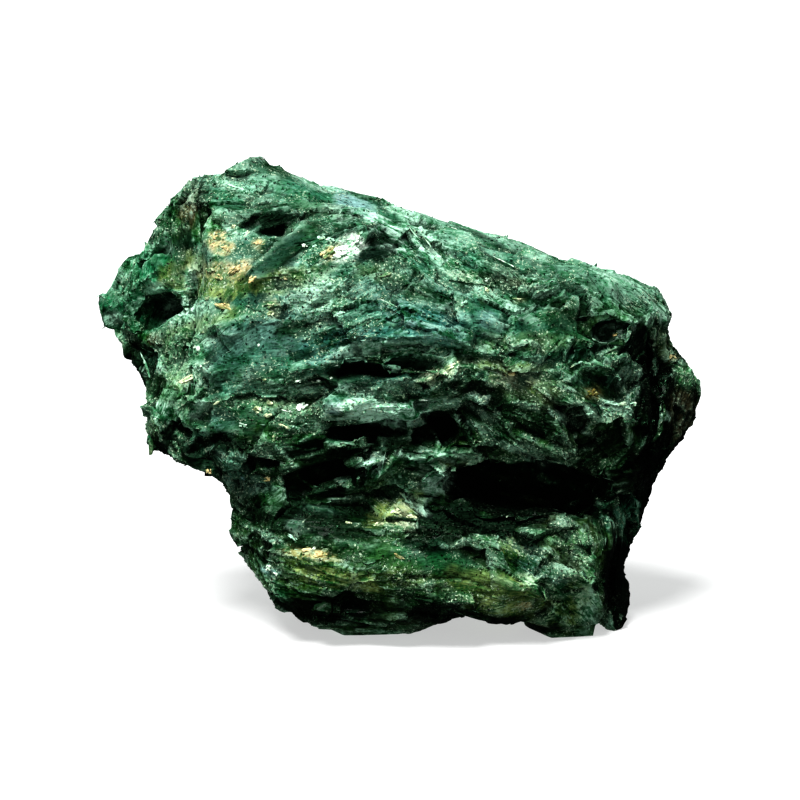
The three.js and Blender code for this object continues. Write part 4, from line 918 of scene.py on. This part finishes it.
# The finished stone, and what the loose pieces need to know of it at each of its points
def makeMass(material):
    mesh, sheaves = reliefMesh()
    rough = newObject("stoneWork", mesh)
    thin = rough.modifiers.new("thin", "DECIMATE")
    thin.ratio = min(1.0, mass["triangles"] / triangleCount(mesh))
    thin.use_collapse_triangulate = True
    mesh = settled("tourmaline_mass", rough)
    mesh.validate()
    places = readVectors(mesh.vertices, "co") / mm
    edges = readEdges(mesh)
    normals = smoothed(readVectors(mesh.vertex_normals, "vector"), edges, mass["settle"])
    flat = ramp(np.linalg.norm(smoothed(normals, edges, mass["flatRounds"]), axis=1), 0.92, 0.98)
    normals = unit(normals)
    fine = ((places - smoothed(places, edges, mass["fineRounds"])) * normals).sum(1)
    wide = ((places - smoothed(places, edges, mass["wideRounds"])) * normals).sum(1)
    owner = sheafOf(sheaves, places)
    _, each, _, middle = bladesAt(sheaves, owner, places)
    corners = np.zeros(len(mesh.loops), np.int32)
    mesh.loops.foreach_get("vertex_index", corners)
    first = corners.reshape(-1, 3)[:, 0]
    inFace = bladesAt(sheaves, np.repeat(owner[first], 3), places[corners])[2]
    calm, busy = surfaceMood(places, normals)
    colour = stoneColourAndShade(places, normals, each, middle, fine, wide)
    writeAttribute(mesh, "bladeCoord", "FLOAT_VECTOR", "CORNER", inFace)
    writeAttribute(mesh, "tint", "FLOAT", "FACE", (0.6 * each + 0.4 * chance(owner, 31))[first])
    # the stone's colour, with its painted shade and highlights
    writeAttribute(mesh, "stoneTone", "FLOAT_COLOR", "POINT", np.hstack([colour, np.ones((len(colour), 1))]))
    writeAttribute(mesh, "busy", "FLOAT", "POINT", busy)
    writeAttribute(mesh, "calm", "FLOAT", "POINT", calm)
    standing = ramp(places[:, 2], 0.8, 1.6) * (1 - 0.7 * ramp(normals[:, 0], 0.5, 0.8))
    standing = standing * (0.15 + 0.85 * ramp(colour[:, 1], 0.006, 0.04))  # few on the darkest stone
    hosts = {
        "fibre": ("FLOAT_VECTOR", sheaves["run"][owner]),
        "splinterShare": ("FLOAT", standing * flat * (1 - 0.85 * calm) * (1 - 0.6 * busy)),
        "needleShare": ("FLOAT", standing * (0.2 + 0.8 * flat) * (1 - 0.6 * calm) * (1 - 0.2 * busy)),
        "grainShare": ("FLOAT", standing * (0.06 + 0.94 * busy ** 2) * (1 - 0.7 * calm)),
    }
    mesh.materials.clear()
    mesh.materials.append(material)
    made = newObject("tourmaline_mass", mesh)
    print("mass:", len(mesh.polygons), "triangles")
    return made, hosts


# The finish of the crystals: dark waxy green, silky streaks along each blade, pale flecks that are partly
# painted glints, and glints
def makeCrystal(name, finish):
    material, graph, shader = newMaterial(name)
    coord = graph.attribute("bladeCoord", "Vector")
    here = graph.node("ShaderNodeTexCoord", give="Object")
    # the stone's colour, painted shade and highlights included
    base = graph.attribute("stoneTone", "Color")
    silk = graph.noise(graph.vector("MULTIPLY", coord, finish["silk"]), 1.0, 3.0, 0.65)
    cloud = graph.noise(here, finish["cloud"], 4.0, 0.6)
    grit = graph.noise(here, finish["grit"], 3.0, 0.7)
    bend = graph.scaled(graph.noise(here, finish["bends"], 2.0, 0.6, give="Color"), finish["bendBy"])
    plates = graph.vector("ADD", graph.vector("MULTIPLY", coord, finish["plates"]), bend)
    plate = graph.cells(plates)
    which = graph.part(plate)
    gap = graph.cells(plates, feature="DISTANCE_TO_EDGE", give="Distance")
    dashes = graph.vector("ADD", graph.vector("MULTIPLY", coord, finish["dashes"]), bend)
    dash = graph.cells(dashes)
    stroke = graph.part(dash)
    stir = 1.0 - 0.5 * graph.attribute("calm")
    broad = finish["cloudShare"] * (cloud - 0.5) + finish["tintShare"] * (graph.attribute("tint") - 0.5)
    broad = broad + finish["plateShare"] * (which - 0.5)
    thin = finish["silkShare"] * (silk - 0.5) + finish["gritShare"] * (grit - 0.5)
    thin = thin + finish["dashShare"] * (stroke - 0.5)
    # fine marks are paler rather than darker than what is round them
    thin = thin.atLeast(finish["thinDark"] * thin)
    light = stir * (broad + thin)
    shade = finish["darkest"] + finish["contrast"] * light.above(-0.32, 0.4)
    shade = shade * (1.0 - finish["gaps"] * (stir * (1.0 - gap.above(0.0, 0.06))))
    # the darks are a deeper green
    deep = shade.atMost(1.0)
    sockets = {0: shade * deep ** finish["darkRed"], 1: shade, 2: shade * deep ** finish["darkBlue"]}
    dark = graph.mix(1.0, base, graph.node("ShaderNodeCombineColor", {}, sockets), "MULTIPLY")
    # dark stone has fewer pale marks
    lit = graph.part(base, 1).above(0.008, 0.13)
    streaked = graph.mix(finish["pale"] * light.above(0.16, 0.5) * (0.02 + 0.98 * lit), dark, tones["mint"])
    # pale flecks, partly real specks and partly painted glints, crowd together here and there, with a
    # painted bloom of light round them
    crowd = graph.noise(here, finish["crowds"], 3.0, 0.6) + 0.16 * graph.attribute("busy")
    speck = graph.noise(here, finish["specks"], 2.0, 0.7).above(0.58, 0.66)
    fleckAndGlint = finish["flecks"] * (crowd.above(0.46, 0.62) * speck) * (0.06 + 0.94 * lit)
    bloomed = graph.mix(finish["glintBloom"] * (crowd.above(0.5, 0.72) * lit), streaked, tones["mint"])
    graph.feed(shader.inputs["Base Color"], graph.mix(fleckAndGlint, bloomed, tones["fleckAndGlint"]))
    # each tiny cell leans its own way, a few of them steeply, and those shine
    cell = graph.cells(here, finish["cells"])
    shiny = graph.part(cell).above(0.75, 0.9)
    graph.feed(shader.inputs["Roughness"], finish["rough"] + 0.3 * silk - finish["shine"] * shiny)
    jitter = graph.vector("SUBTRACT", cell, (0.5, 0.5, 0.5))
    lean = finish["glint"] * (0.3 + 0.7 * lit) * (0.2 + 1.6 * shiny)
    out = graph.node("ShaderNodeNewGeometry", give="Normal")
    turned = graph.vector("ADD", out, graph.scaled(jitter, lean))
    leant = graph.vector("SUBTRACT", graph.mix(0.5, plate, dash), (0.5, 0.5, 0.5))
    turned = graph.vector("ADD", turned, graph.scaled(leant, finish["plateLean"]))
    turned = graph.node("ShaderNodeVectorMath", {"operation": "NORMALIZE"}, {0: turned})
    relief = silk + 0.7 * grit + 0.3 * cloud + 0.5 * which
    sockets = {"Strength": finish["bump"], "Distance": finish["bumpDepth"] * mm,
               "Height": relief, "Normal": turned}
    graph.feed(shader.inputs["Normal"], graph.node("ShaderNodeBump", {}, sockets))
    shader.inputs["Specular IOR Level"].default_value = finish["mirror"]
    shader.inputs["Specular Tint"].default_value = finish["mirrorTint"]
    shader.inputs["Coat Weight"].default_value = finish["coat"]
    shader.inputs["Coat Roughness"].default_value = finish["coatRough"]
    return material


massFinish = {
    "silk": (0.8, 6.5, 2.0),     # streaks for each mm along, across and through
    "plates": (0.4, 1.1, 0.9),
    "dashes": (1.5, 5.0, 3.0),
    "cloud": 420.0,              # these are for each metre
    "grit": 2400.0,
    "cells": 5000.0,
    "specks": 4600.0,
    "crowds": 330.0,             # where the flecks crowd together
    "bends": 1300.0,
    "bendBy": 0.3,               # how far plates and dashes are bent out of true
    "silkShare": 0.8,            # how much each of them lightens and darkens
    "cloudShare": 0.9,
    "gritShare": 1.25,
    "tintShare": 0.3,
    "plateShare": 0.22,
    "dashShare": 0.42,
    "plateLean": 0.7,            # how far plates and dashes lean their own way
    "thinDark": 0.35,            # how dark fine marks may be, beside how pale
    "gaps": 0.35,                # how dark the gaps between plates are
    "darkest": 0.16,
    "contrast": 1.7,
    "darkRed": 0.9,              # how fast red and blue fall off in the darks
    "darkBlue": 0.5,
    "pale": 0.6,
    # pale flecks, partly painted glints
    "flecks": 1.35,
    "glintBloom": 0.16,                # painted bloom of light round the flecks
    "rough": 0.42,
    "shine": 0.4,                # how much less rough the shining cells are
    "glint": 1.1,
    "bump": 0.7,
    "bumpDepth": 0.12,
    "mirror": 0.3,               # how strongly the stone mirrors, and in what tone
    "mirrorTint": (0.4, 1.0, 0.56, 1),
    "coat": 0.03,
    "coatRough": 0.12,
}

stone, hosts = makeMass(makeCrystal("greenTourmaline", massFinish))


# Splinters, needles and grains that stand on the stone

# A blade of unit size, broken off aslant at both ends
def splinterMesh(rng):
    ring = np.array([(-0.5, -0.2), (-0.34, 0.38), (0.1, 0.5), (0.44, 0.26), (0.5, -0.3), (0.0, -0.5)])
    ring = ring * rng.uniform(0.8, 1.1, ring.shape)
    slants = rng.uniform(-0.16, 0.16, 4)
    points = []
    rings = ((-0.5, 0.55, slants[0]), (-0.2, 1, slants[1] / 4), (0.22, 0.95, 0), (0.5, 0.5, slants[2]))
    for x, size, slant in rings:
        shift = rng.uniform(-0.08, 0.08, 2)
        points += [(x + slant * 2 * y, y * size + shift[0], z * size + shift[1]) for y, z in ring]
    return boxed("splinter", points, len(ring), len(rings))


# A needle of unit size, pointed at both ends
def needleMesh(rng):
    ring = np.array([(-0.5, 0.0), (0.0, 0.5), (0.5, 0.0), (0.0, -0.5)]) * rng.uniform(0.8, 1.1, (4, 2))
    middle = rng.uniform(-0.25, 0.25)
    points = [(middle + rng.uniform(-0.1, 0.1), y, z) for y, z in ring]
    return boxed("needle", points, len(ring), 1, tips=[(-0.5, 0.1, 0.0), (0.5, -0.1, 0.0)])


# A closed mesh from rings of points, with flat ends or with two tips
def boxed(name, points, around, rings, tips=()):
    faces = []
    for ring in range(rings - 1):
        for side in range(around):
            after = (side + 1) % around
            faces.append((ring * around + side, ring * around + after,
                          (ring + 1) * around + after, (ring + 1) * around + side))
    last = (rings - 1) * around
    if tips:
        first = len(points)
        points = points + list(tips)
        faces += [(first, (side + 1) % around, side) for side in range(around)]
        faces += [(first + 1, last + side, last + (side + 1) % around) for side in range(around)]
    else:
        faces.append(tuple(reversed(range(around))))
        faces.append(tuple(range(last, last + around)))
    mesh = bpy.data.meshes.new(name)
    mesh.from_pydata([tuple(map(float, point)) for point in points], [], faces)
    return outward(mesh)


def outward(mesh):
    work = bmesh.new()
    work.from_mesh(mesh)
    bmesh.ops.recalc_face_normals(work, faces=work.faces)
    work.to_mesh(mesh)
    work.free()
    return mesh


# An angular grain of unit size: the hull of points scattered on a ball
def grainMesh(rng, corners=9):
    points = unit(rng.normal(size=(corners, 3))) * 0.5
    work = bmesh.new()
    for point in points:
        work.verts.new(point)
    hull = bmesh.ops.convex_hull(work, input=work.verts)
    bmesh.ops.delete(work, geom=[v for v in hull["geom_interior"] if isinstance(v, bmesh.types.BMVert)])
    bmesh.ops.recalc_face_normals(work, faces=work.faces)
    mesh = bpy.data.meshes.new("grain")
    work.to_mesh(mesh)
    work.free()
    return mesh


# What is scattered over the stone. Density is for each square mm, sizes are in mm along, across and
# up, sink is how deep a copy sits, and stray, tip and roll are the most that it turns, in degrees.
scatters = {
    "splinters": {"shape": splinterMesh, "kinds": 6, "share": "splinterShare", "density": 0.2,
                  "size": (3.2, 0.6, 0.34), "sink": 0.12, "stray": 12, "tip": 2.5, "roll": 10, "seed": 5},
    "needles": {"shape": needleMesh, "kinds": 4, "share": "needleShare", "density": 1.2,
                "size": (1.1, 0.11, 0.1), "sink": 0.0, "stray": 16, "tip": 4, "roll": 60, "seed": 6},
    "grains": {"shape": grainMesh, "kinds": 8, "share": "grainShare", "density": 4.6,
               "size": (0.36, 0.26, 0.22), "sink": 0.05, "stray": 180, "tip": 60, "roll": 60, "seed": 7},
}

smallestCopy = (0.45, 0.55, 0.6)  # as shares of the size that is given
largestCopy = (1.5, 1.45, 1.4)
copiesApart = 400.0               # mm, how far apart the streaks of two copies may start


# The tree that sets copies of parts on a surface, lying along its fibres
def scatterTree(name, plan, parts, material):
    tree = bpy.data.node_groups.new(name, "GeometryNodeTree")
    graph = Graph(tree)
    tree.interface.new_socket("Geometry", in_out="INPUT", socket_type="NodeSocketGeometry")
    tree.interface.new_socket("Geometry", in_out="OUTPUT", socket_type="NodeSocketGeometry")
    entries = {"Density": "Float", "Size": "Vector", "Sink": "Float", "Turn": "Vector", "Seed": "Int"}
    for label, kind in entries.items():
        tree.interface.new_socket(label, in_out="INPUT", socket_type="NodeSocket" + kind)
    entry = tree.nodes.new("NodeGroupInput")

    def given(label):
        return Signal(graph, entry.outputs[label])

    def spread(low, high, salt):
        sockets = {"Min": low, "Max": high, "Seed": given("Seed") + salt}
        return graph.node("FunctionNodeRandomValue", {"data_type": "FLOAT_VECTOR"}, sockets, give="Value")

    def named(label, kind):
        return graph.node("GeometryNodeInputNamedAttribute", {"data_type": kind}, {"Name": label})

    density = given("Density") * named(plan["share"], "FLOAT")
    sockets = {"Mesh": given("Geometry"), "Density": density, "Seed": given("Seed")}
    points = tree.nodes.new("GeometryNodeDistributePointsOnFaces")
    for label, value in sockets.items():
        graph.feed(graph.live(points.inputs, label), value)
    out = Signal(graph, points.outputs["Normal"])
    sockets = {"Primary Axis": out, "Secondary Axis": named("fibre", "FLOAT_VECTOR")}
    laid = graph.node("FunctionNodeAxesToRotation", {"primary_axis": "Z", "secondary_axis": "X"}, sockets)
    turn = graph.vector("MULTIPLY", spread((-1, -1, -1), (1, 1, 1), 1), given("Turn"))
    turned = graph.node("FunctionNodeEulerToRotation", {}, {"Euler": turn})
    sockets = {"Rotation": laid, "Rotate By": turned}
    turned = graph.node("FunctionNodeRotateRotation", {"rotation_space": "LOCAL"}, sockets)
    size = graph.vector("MULTIPLY", spread(smallestCopy, largestCopy, 2), given("Size"))
    kinds = graph.node("GeometryNodeCollectionInfo", {}, {"Collection": parts, "Separate Children": True})
    sockets = {"Min": 0, "Max": plan["kinds"] - 1, "Seed": given("Seed") + 3}
    which = graph.node("FunctionNodeRandomValue", {"data_type": "INT"}, sockets, give="Value")
    sockets = {"Points": Signal(graph, points.outputs["Points"]), "Instance": kinds, "Pick Instance": True,
               "Instance Index": which, "Rotation": turned, "Scale": size}
    copies = graph.node("GeometryNodeInstanceOnPoints", {}, sockets)
    down = graph.node("ShaderNodeCombineXYZ", {}, {"Z": given("Sink") * -1.0})
    copies = graph.node("GeometryNodeTranslateInstances", {}, {"Instances": copies, "Translation": down})
    sockets = {"Seed": given("Seed") + 4}
    each = graph.node("FunctionNodeRandomValue", {"data_type": "FLOAT"}, sockets, give="Value")
    copies = graph.node("GeometryNodeStoreNamedAttribute", {"data_type": "FLOAT", "domain": "INSTANCE"},
                        {"Geometry": copies, "Name": "tint", "Value": each})
    plain = graph.node("GeometryNodeRealizeInstances", {}, {"Geometry": copies})
    plain = graph.node("GeometryNodeSetMaterial", {}, {"Geometry": plain, "Material": material})
    leave = tree.nodes.new("NodeGroupOutput")
    graph.feed(leave.inputs[0], plain)
    return tree


def makeScatter(name, plan, material):
    rng = np.random.default_rng(plan["seed"])
    parts = bpy.data.collections.new(name + "Parts")
    for _ in range(plan["kinds"]):
        mesh = plan["shape"](rng)
        places = readVectors(mesh.vertices, "co")
        writeAttribute(mesh, "bladeCoord", "FLOAT_VECTOR", "POINT", places * np.array(plan["size"]))
        parts.objects.link(bpy.data.objects.new(mesh.name, mesh))
    host = stone.data.copy()
    for label in ("bladeCoord", "tint", "calm"):
        host.attributes.remove(host.attributes[label])
    for label, (kind, values) in hosts.items():
        if label in ("fibre", plan["share"]):
            writeAttribute(host, label, kind, "POINT", values)
    source = newObject(name + "Host", host)
    modifier = source.modifiers.new(name, "NODES")
    tree = scatterTree(name, plan, parts, material)
    modifier.node_group = tree
    values = {
        "Density": plan["density"] / mm ** 2,
        "Size": [part * mm for part in plan["size"]],
        "Sink": plan["sink"] * mm,
        "Turn": [math.radians(plan[turn]) for turn in ("roll", "tip", "stray")],
        "Seed": plan["seed"],
    }
    for item in tree.interface.items_tree:
        if item.name in values:
            modifier[item.identifier] = values[item.name]
    mesh = settled(name, source)
    for part in list(parts.objects):
        bpy.data.objects.remove(part)
    moveTo(mesh, readVectors(mesh.vertices, "co"))
    # every copy's streaks start elsewhere
    tint = np.zeros(len(mesh.vertices), np.float32)
    mesh.attributes["tint"].data.foreach_get("value", tint)
    coord = mesh.attributes["bladeCoord"]
    inPart = np.zeros(len(mesh.vertices) * 3, np.float32)
    coord.data.foreach_get("vector", inPart)
    inPart = inPart.reshape(-1, 3) + copiesApart * tint[:, None]
    coord.data.foreach_set("vector", inPart.ravel())
    for label in ("fibre", plan["share"]):
        if label in mesh.attributes:
            mesh.attributes.remove(mesh.attributes[label])
    print(name + ":", triangleCount(mesh), "triangles")
    return newObject(name, mesh)


splinterFinish = dict(massFinish, silk=(0.6, 7.0, 3.0), gaps=0)
needleFinish = dict(massFinish, silk=(0.6, 5.0, 5.0), tintShare=1.0, flecks=0.4, glint=0.4, gaps=0, pale=0.8)
grainFinish = dict(massFinish, silk=(2.0, 3.0, 3.0), tintShare=0.7, pale=0.8, glint=0.3, rough=0.3, gaps=0)
finishes = {
    "splinters": makeCrystal("splinterGreen", splinterFinish),
    "needles": makeCrystal("needleGreen", needleFinish),
    "grains": makeCrystal("grainGreen", grainFinish),
}

# Grains and blades set in the front one by one: mm across, mm up, length, width, degrees and tone
setPieces = [
    # the white grain, its rusty neighbours and the grey ones beside it
    (-5.0, 15.4, 3.2, 2.0, 38, "white"), (-5.8, 14.7, 2.2, 1.5, 20, "white"),
    (-7.0, 14.7, 2.2, 1.2, 42, "ochre"), (-9.5, 15.4, 0.6, 0.5, 0, "white"),
    (-7.9, 16.1, 1.0, 0.7, 20, "mint"), (-7.0, 16.0, 0.9, 0.6, -10, "mint"),
    (-8.6, 15.4, 0.5, 0.4, 30, "mint"), (-4.0, 16.6, 0.8, 0.5, 30, "mint"),
    (-1.5, 12.5, 1.7, 0.5, 20, "cream"),
    # the rusty corner
    (-18.4, 16.2, 1.2, 0.6, -20, "ochre"), (-17.4, 15.1, 1.2, 0.6, -45, "ochre"),
    (-14.3, 15.7, 1.1, 0.5, 18, "ochre"), (-18.9, 13.0, 1.3, 0.7, 10, "cream"),
    (-18.0, 12.2, 1.0, 0.6, -30, "ochre"), (-16.5, 13.0, 1.9, 0.7, 32, "ochre"),
    (-14.8, 12.1, 1.2, 0.7, 30, "ochre"), (-17.5, 9.3, 2.2, 0.9, -20, "ochre"),
    (-12.9, 9.5, 0.9, 0.8, 0, "cream"), (-12.9, 8.6, 1.0, 0.7, 20, "cream"),
    (-11.6, 12.3, 0.8, 0.5, 0, "ochre"), (-16.6, 17.3, 0.7, 0.6, 0, "cream"),
    (-15.4, 16.6, 0.8, 0.5, 40, "mint"), (-19.2, 10.2, 0.8, 0.4, 0, "cream"),
    # the face
    (-20.3, 5.2, 0.8, 0.6, -30, "white"), (-20.0, 3.4, 0.7, 0.6, 0, "white"),
    (-20.8, 2.2, 2.6, 0.7, 25, "cream"), (-19.7, 6.8, 0.6, 0.3, 0, "mint"),
    (-14.1, 5.5, 0.3, 0.3, 0, "white"), (-10.3, 1.9, 0.9, 0.4, -5, "white"),
    (-8.1, 1.9, 0.5, 0.3, 0, "white"), (-6.9, 2.2, 0.4, 0.3, 0, "white"),
    (-6.4, 3.5, 0.5, 0.3, 0, "white"), (-13.5, 2.0, 0.4, 0.3, 0, "cream"),
    (-5.9, 8.7, 0.8, 0.5, 20, "mint"), (-9.4, 6.2, 0.5, 0.4, 0, "mint"),
    (-13.5, -0.1, 1.5, 0.6, -20, "cream"), (-14.2, -1.0, 1.2, 0.8, 0, "cream"),
    (-13.2, -1.5, 0.9, 0.7, 30, "cream"), (-9.9, -0.7, 1.5, 0.9, 42, "white"),
    (-15.6, -2.5, 1.0, 0.5, -10, "white"), (-11.3, -1.1, 1.3, 0.3, -15, "white"),
    (-18.2, -0.2, 1.2, 0.4, 20, "cream"), (-11.6, -2.6, 1.6, 0.5, -25, "cream"),
    (-12.6, -3.8, 0.5, 0.8, 0, "cream"),
    # the middle and the right
    (5.3, 3.4, 1.8, 0.5, 25, "cream"), (3.6, 2.4, 1.4, 0.4, 10, "cream"),
    (2.3, 0.1, 1.0, 0.4, 10, "white"), (11.0, 2.6, 1.4, 0.7, 5, "ochre"),
    (13.1, 1.8, 1.3, 0.4, -20, "cream"), (11.5, 10.1, 1.7, 0.3, 4, "cream"),
    (19.2, 0.7, 1.3, 1.0, 20, "rust"), (21.5, 6.5, 0.6, 0.5, 0, "ochre"),
    (27.3, 4.3, 0.7, 0.7, 0, "ochre"), (22.2, -0.4, 1.4, 0.6, 10, "mint"),
    (20.6, -1.0, 1.2, 0.5, -10, "mint"), (23.4, -0.4, 0.9, 0.5, 20, "mint"),
    (19.0, -1.3, 0.9, 0.4, 20, "mint"), (17.6, 3.6, 1.6, 0.3, 24, "mint"),
    (8.8, 11.0, 0.8, 0.5, 0, "cream"), (6.4, 9.7, 0.9, 0.6, 30, "mint"),
    (8.7, 12.0, 0.6, 0.4, 0, "white"),
    # the lower ledge
    (-9.4, -15.0, 1.2, 0.7, -10, "ochre"), (-8.6, -14.8, 0.4, 0.4, 0, "white"),
    (-11.1, -15.1, 0.9, 0.6, 0, "cream"), (-7.9, -15.4, 1.5, 0.8, 10, "ochre"),
    (-13.0, -16.8, 1.0, 0.8, 0, "white"), (-12.4, -17.4, 0.7, 0.4, 0, "white"),
    (0.6, -9.8, 1.8, 0.7, -45, "mint"), (1.2, -11.7, 1.3, 0.7, 10, "cream"),
    (-1.9, -12.4, 1.8, 0.6, 15, "cream"), (-0.4, -11.2, 1.1, 0.8, 30, "cream"),
    (-10.7, -13.7, 1.8, 0.5, -35, "mint"), (-5.1, -12.3, 0.7, 0.4, 0, "cream"),
    (-0.1, -15.6, 1.3, 0.4, -25, "ochre"), (-13.3, -7.9, 0.8, 0.6, 0, "ochre"),
    (-15.7, -7.8, 0.8, 0.5, 0, "blueTeal"), (-19.1, -7.1, 0.7, 0.6, 0, "ochre"),
    (0.0, -17.8, 0.8, 0.4, 0, "cream"), (12.8, -20.4, 0.8, 0.6, 0, "ochre"),
    # long blades
    (10.6, 13.7, 2.6, 0.14, -29, "white"), (5.2, 17.2, 1.8, 0.14, -30, "white"),
    (-0.5, 9.4, 2.8, 0.14, -28, "white"), (1.6, 16.4, 2.2, 0.14, -58, "mint"),
    (2.9, 15.6, 2.1, 0.12, -54, "mint"), (-16.2, 21.2, 2.6, 0.2, -30, "mint"),
    (-24.8, -4.2, 2.6, 0.7, 80, "emerald"), (-25.4, 3.4, 2.4, 0.3, -70, "mint"),
]


setting = {
    "seed": 17,
    "thickest": 0.6,      # mm
    "thickShare": 0.6,    # thickness of the thinner ones, as a share of their width
    "proud": 0.15,        # how far they stand out, as a share of their width
    "feel": 0.35,         # how far out, as a share of the length, the stone is felt for its slope
    "lookOut": 0.5,       # how far they turn towards the camera
    "apart": 50.0,        # mm, how far apart the streaks of two of them may start
    "whiteWear": 0.3,     # how strongly the white ones are worn, beside the others
    "wear": ((0.6, 72, 0.7, "cream"), (0.45, 73, 0.85, "olive")),  # mm, seed, strength and tone
}


# A cluster of angular grains, of unit size in all
def nuggets(rng):
    points, faces = [], []
    for _ in range(9):
        mesh = grainMesh(rng, corners=12)
        away = rng.uniform((-0.36, -0.32, -0.2), (0.36, 0.32, 0.16))
        size = rng.uniform(0.3, 0.62) * (1.1 - math.hypot(away[0], away[1]))
        first = sum(len(part) for part in points)
        points.append(readVectors(mesh.vertices, "co") * size * rng.uniform(0.7, 1.3, 3) + away)
        faces += [[first + corner for corner in face.vertices] for face in mesh.polygons]
    return np.vstack(points), faces


# A long flat blade of unit size
def flatBlade(rng):
    mesh = splinterMesh(rng)
    return readVectors(mesh.vertices, "co"), [list(face.vertices) for face in mesh.polygons]


def makeSetPieces(material):
    rng = np.random.default_rng(setting["seed"])
    reach = BVHTree.FromObject(stone, bpy.context.evaluated_depsgraph_get())

    # The place on the front that is seen at mm across and mm up, and its normal
    def frontAt(across, up):
        aimed = look["aim"] + across * viewRight + up * viewUp
        place, out, _, _ = reach.ray_cast(Vector(eye * mm), Vector(unit(aimed - eye)))
        return (np.array(place) / mm, np.array(out)) if place else None

    points, faces, coords, colours = [], [], [], []
    for across, up, long, broad, degrees, name in setPieces:
        shape, sides = flatBlade(rng) if long > 2.5 * broad and long > 2 else nuggets(rng)
        centre, out = frontAt(across, up)
        turn = math.radians(degrees)
        for step in (-setting["feel"] * long, setting["feel"] * long):
            nearby = frontAt(across + step * math.cos(turn), up + step * math.sin(turn))
            if nearby:
                out = out + nearby[1]
        out = unit(out + setting["lookOut"] * viewBack)
        run = math.cos(turn) * viewRight + math.sin(turn) * viewUp
        run = unit(run - (run @ out) * out)
        thick = min(setting["thickShare"] * broad, setting["thickest"])
        inPiece = shape * np.array([long, broad, thick])
        first = sum(len(part) for part in points)
        lift = (setting["proud"] * broad + 0.02) * out
        points.append(centre + inPiece @ np.stack([run, np.cross(out, run), out]) + lift)
        faces += [[first + corner for corner in side] for side in sides]
        coords.append(inPiece + setting["apart"] * rng.random(3))
        colour = np.tile(np.array(tones[name]), (len(shape), 1))
        for size, seed, share, other in setting["wear"]:
            worn = share * ramp(softNoise(points[-1], size, seed), 0.0, 0.7)[:, None]
            worn = worn * (setting["whiteWear"] if name == "white" else 1)
            colour = colour * (1 - worn) + np.array(tones[other]) * worn
        colours.append(colour)
    mesh = bpy.data.meshes.new("pale_grains")
    mesh.from_pydata((np.vstack(points) * mm).tolist(), [], faces)
    writeAttribute(mesh, "bladeCoord", "FLOAT_VECTOR", "POINT", np.vstack(coords))
    writeAttribute(mesh, "stoneTone", "FLOAT_COLOR", "POINT", np.vstack(colours))
    writeAttribute(mesh, "tint", "FLOAT", "POINT", np.full(len(mesh.vertices), 0.5))
    outward(mesh)
    mesh.materials.append(material)
    print("pale grains:", len(setPieces))
    return newObject("pale_grains", mesh)


setFinish = dict(massFinish, silk=(2.0, 6.0, 3.0), darkest=0.4, pale=0.3, flecks=0.3, gaps=0)
finishes["setPieces"] = makeCrystal("paleGrains", setFinish)
pieces = [stone, makeSetPieces(finishes["setPieces"])]
pieces += [makeScatter(name, plan, finishes[name]) for name, plan in scatters.items()]
for piece in pieces:
    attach(piece, body)
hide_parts(stoneNode)


# The pale floor, the soft light and the camera

studio = {
    "floorSize": 6.0,         # metres
    "floorTone": (0.55, 0.55, 0.55, 1),
    "floorRough": 0.9,
    "floorGlow": 0.4,         # keeps it pale beside the bright sky
    "sunFrom": (-0.24, -0.62, 1.0),
    "sunStrength": 3.5,
    "sunAngle": 22.0,         # degrees
    "sky": (0.94, 1.0, 0.98, 1.0),
    "skyStrength": 0.25,
    "skyShine": 0.04,         # strength of the sky as it is mirrored
    "skySeen": 1.0,           # strength of the sky as the camera sees it
}


def makeStudio():
    half = studio["floorSize"] / 2
    mesh = bpy.data.meshes.new("floor")
    corners = [(-half, -half, 0), (half, -half, 0), (half, half, 0), (-half, half, 0)]
    mesh.from_pydata(corners, [], [(0, 1, 2, 3)])
    floor = newObject("floor", mesh)
    material, _, shader = newMaterial("paleFloor")
    shader.inputs["Base Color"].default_value = studio["floorTone"]
    shader.inputs["Roughness"].default_value = studio["floorRough"]
    shader.inputs["Emission Color"].default_value = (1, 1, 1, 1)
    shader.inputs["Emission Strength"].default_value = studio["floorGlow"]
    mesh.materials.append(material)
    floor.visible_diffuse = False
    floor.visible_glossy = False
    sun = bpy.data.objects.new("sun", bpy.data.lights.new("sun", "SUN"))
    bpy.context.scene.collection.objects.link(sun)
    sun.data.energy = studio["sunStrength"]
    sun.data.angle = math.radians(studio["sunAngle"])
    sun.rotation_euler = Vector(studio["sunFrom"]).to_track_quat("Z", "Y").to_euler()
    world = bpy.data.worlds.new("studio")
    bpy.context.scene.world = world
    world.use_nodes = True
    graph = Graph(world.node_tree)
    rays = graph.tree.nodes.new("ShaderNodeLightPath")
    shine = (studio["skyShine"] - studio["skyStrength"]) * Signal(graph, rays.outputs["Is Glossy Ray"])
    seen = (studio["skySeen"] - studio["skyStrength"]) * Signal(graph, rays.outputs["Is Camera Ray"])
    sockets = {"Color": studio["sky"], "Strength": studio["skyStrength"] + shine + seen}
    background = graph.node("ShaderNodeBackground", {}, sockets)
    graph.node("ShaderNodeOutputWorld", {}, {"Surface": background})


def makeCamera():
    data = bpy.data.cameras.new("camera")
    data.lens = look["lens"]
    data.sensor_width = look["sensor"]
    data.clip_start, data.clip_end = look["reach"]
    camera = newObject("camera", data)
    camera.location = Vector(eye * mm)
    camera.rotation_euler = Vector(viewBack).to_track_quat("Z", "Y").to_euler()
    bpy.context.scene.camera = camera


makeStudio()
makeCamera()
print("studio and camera: set up")
scene = bpy.context.scene
scene.view_settings.view_transform = "Standard"
scene.view_settings.look = "High Contrast"
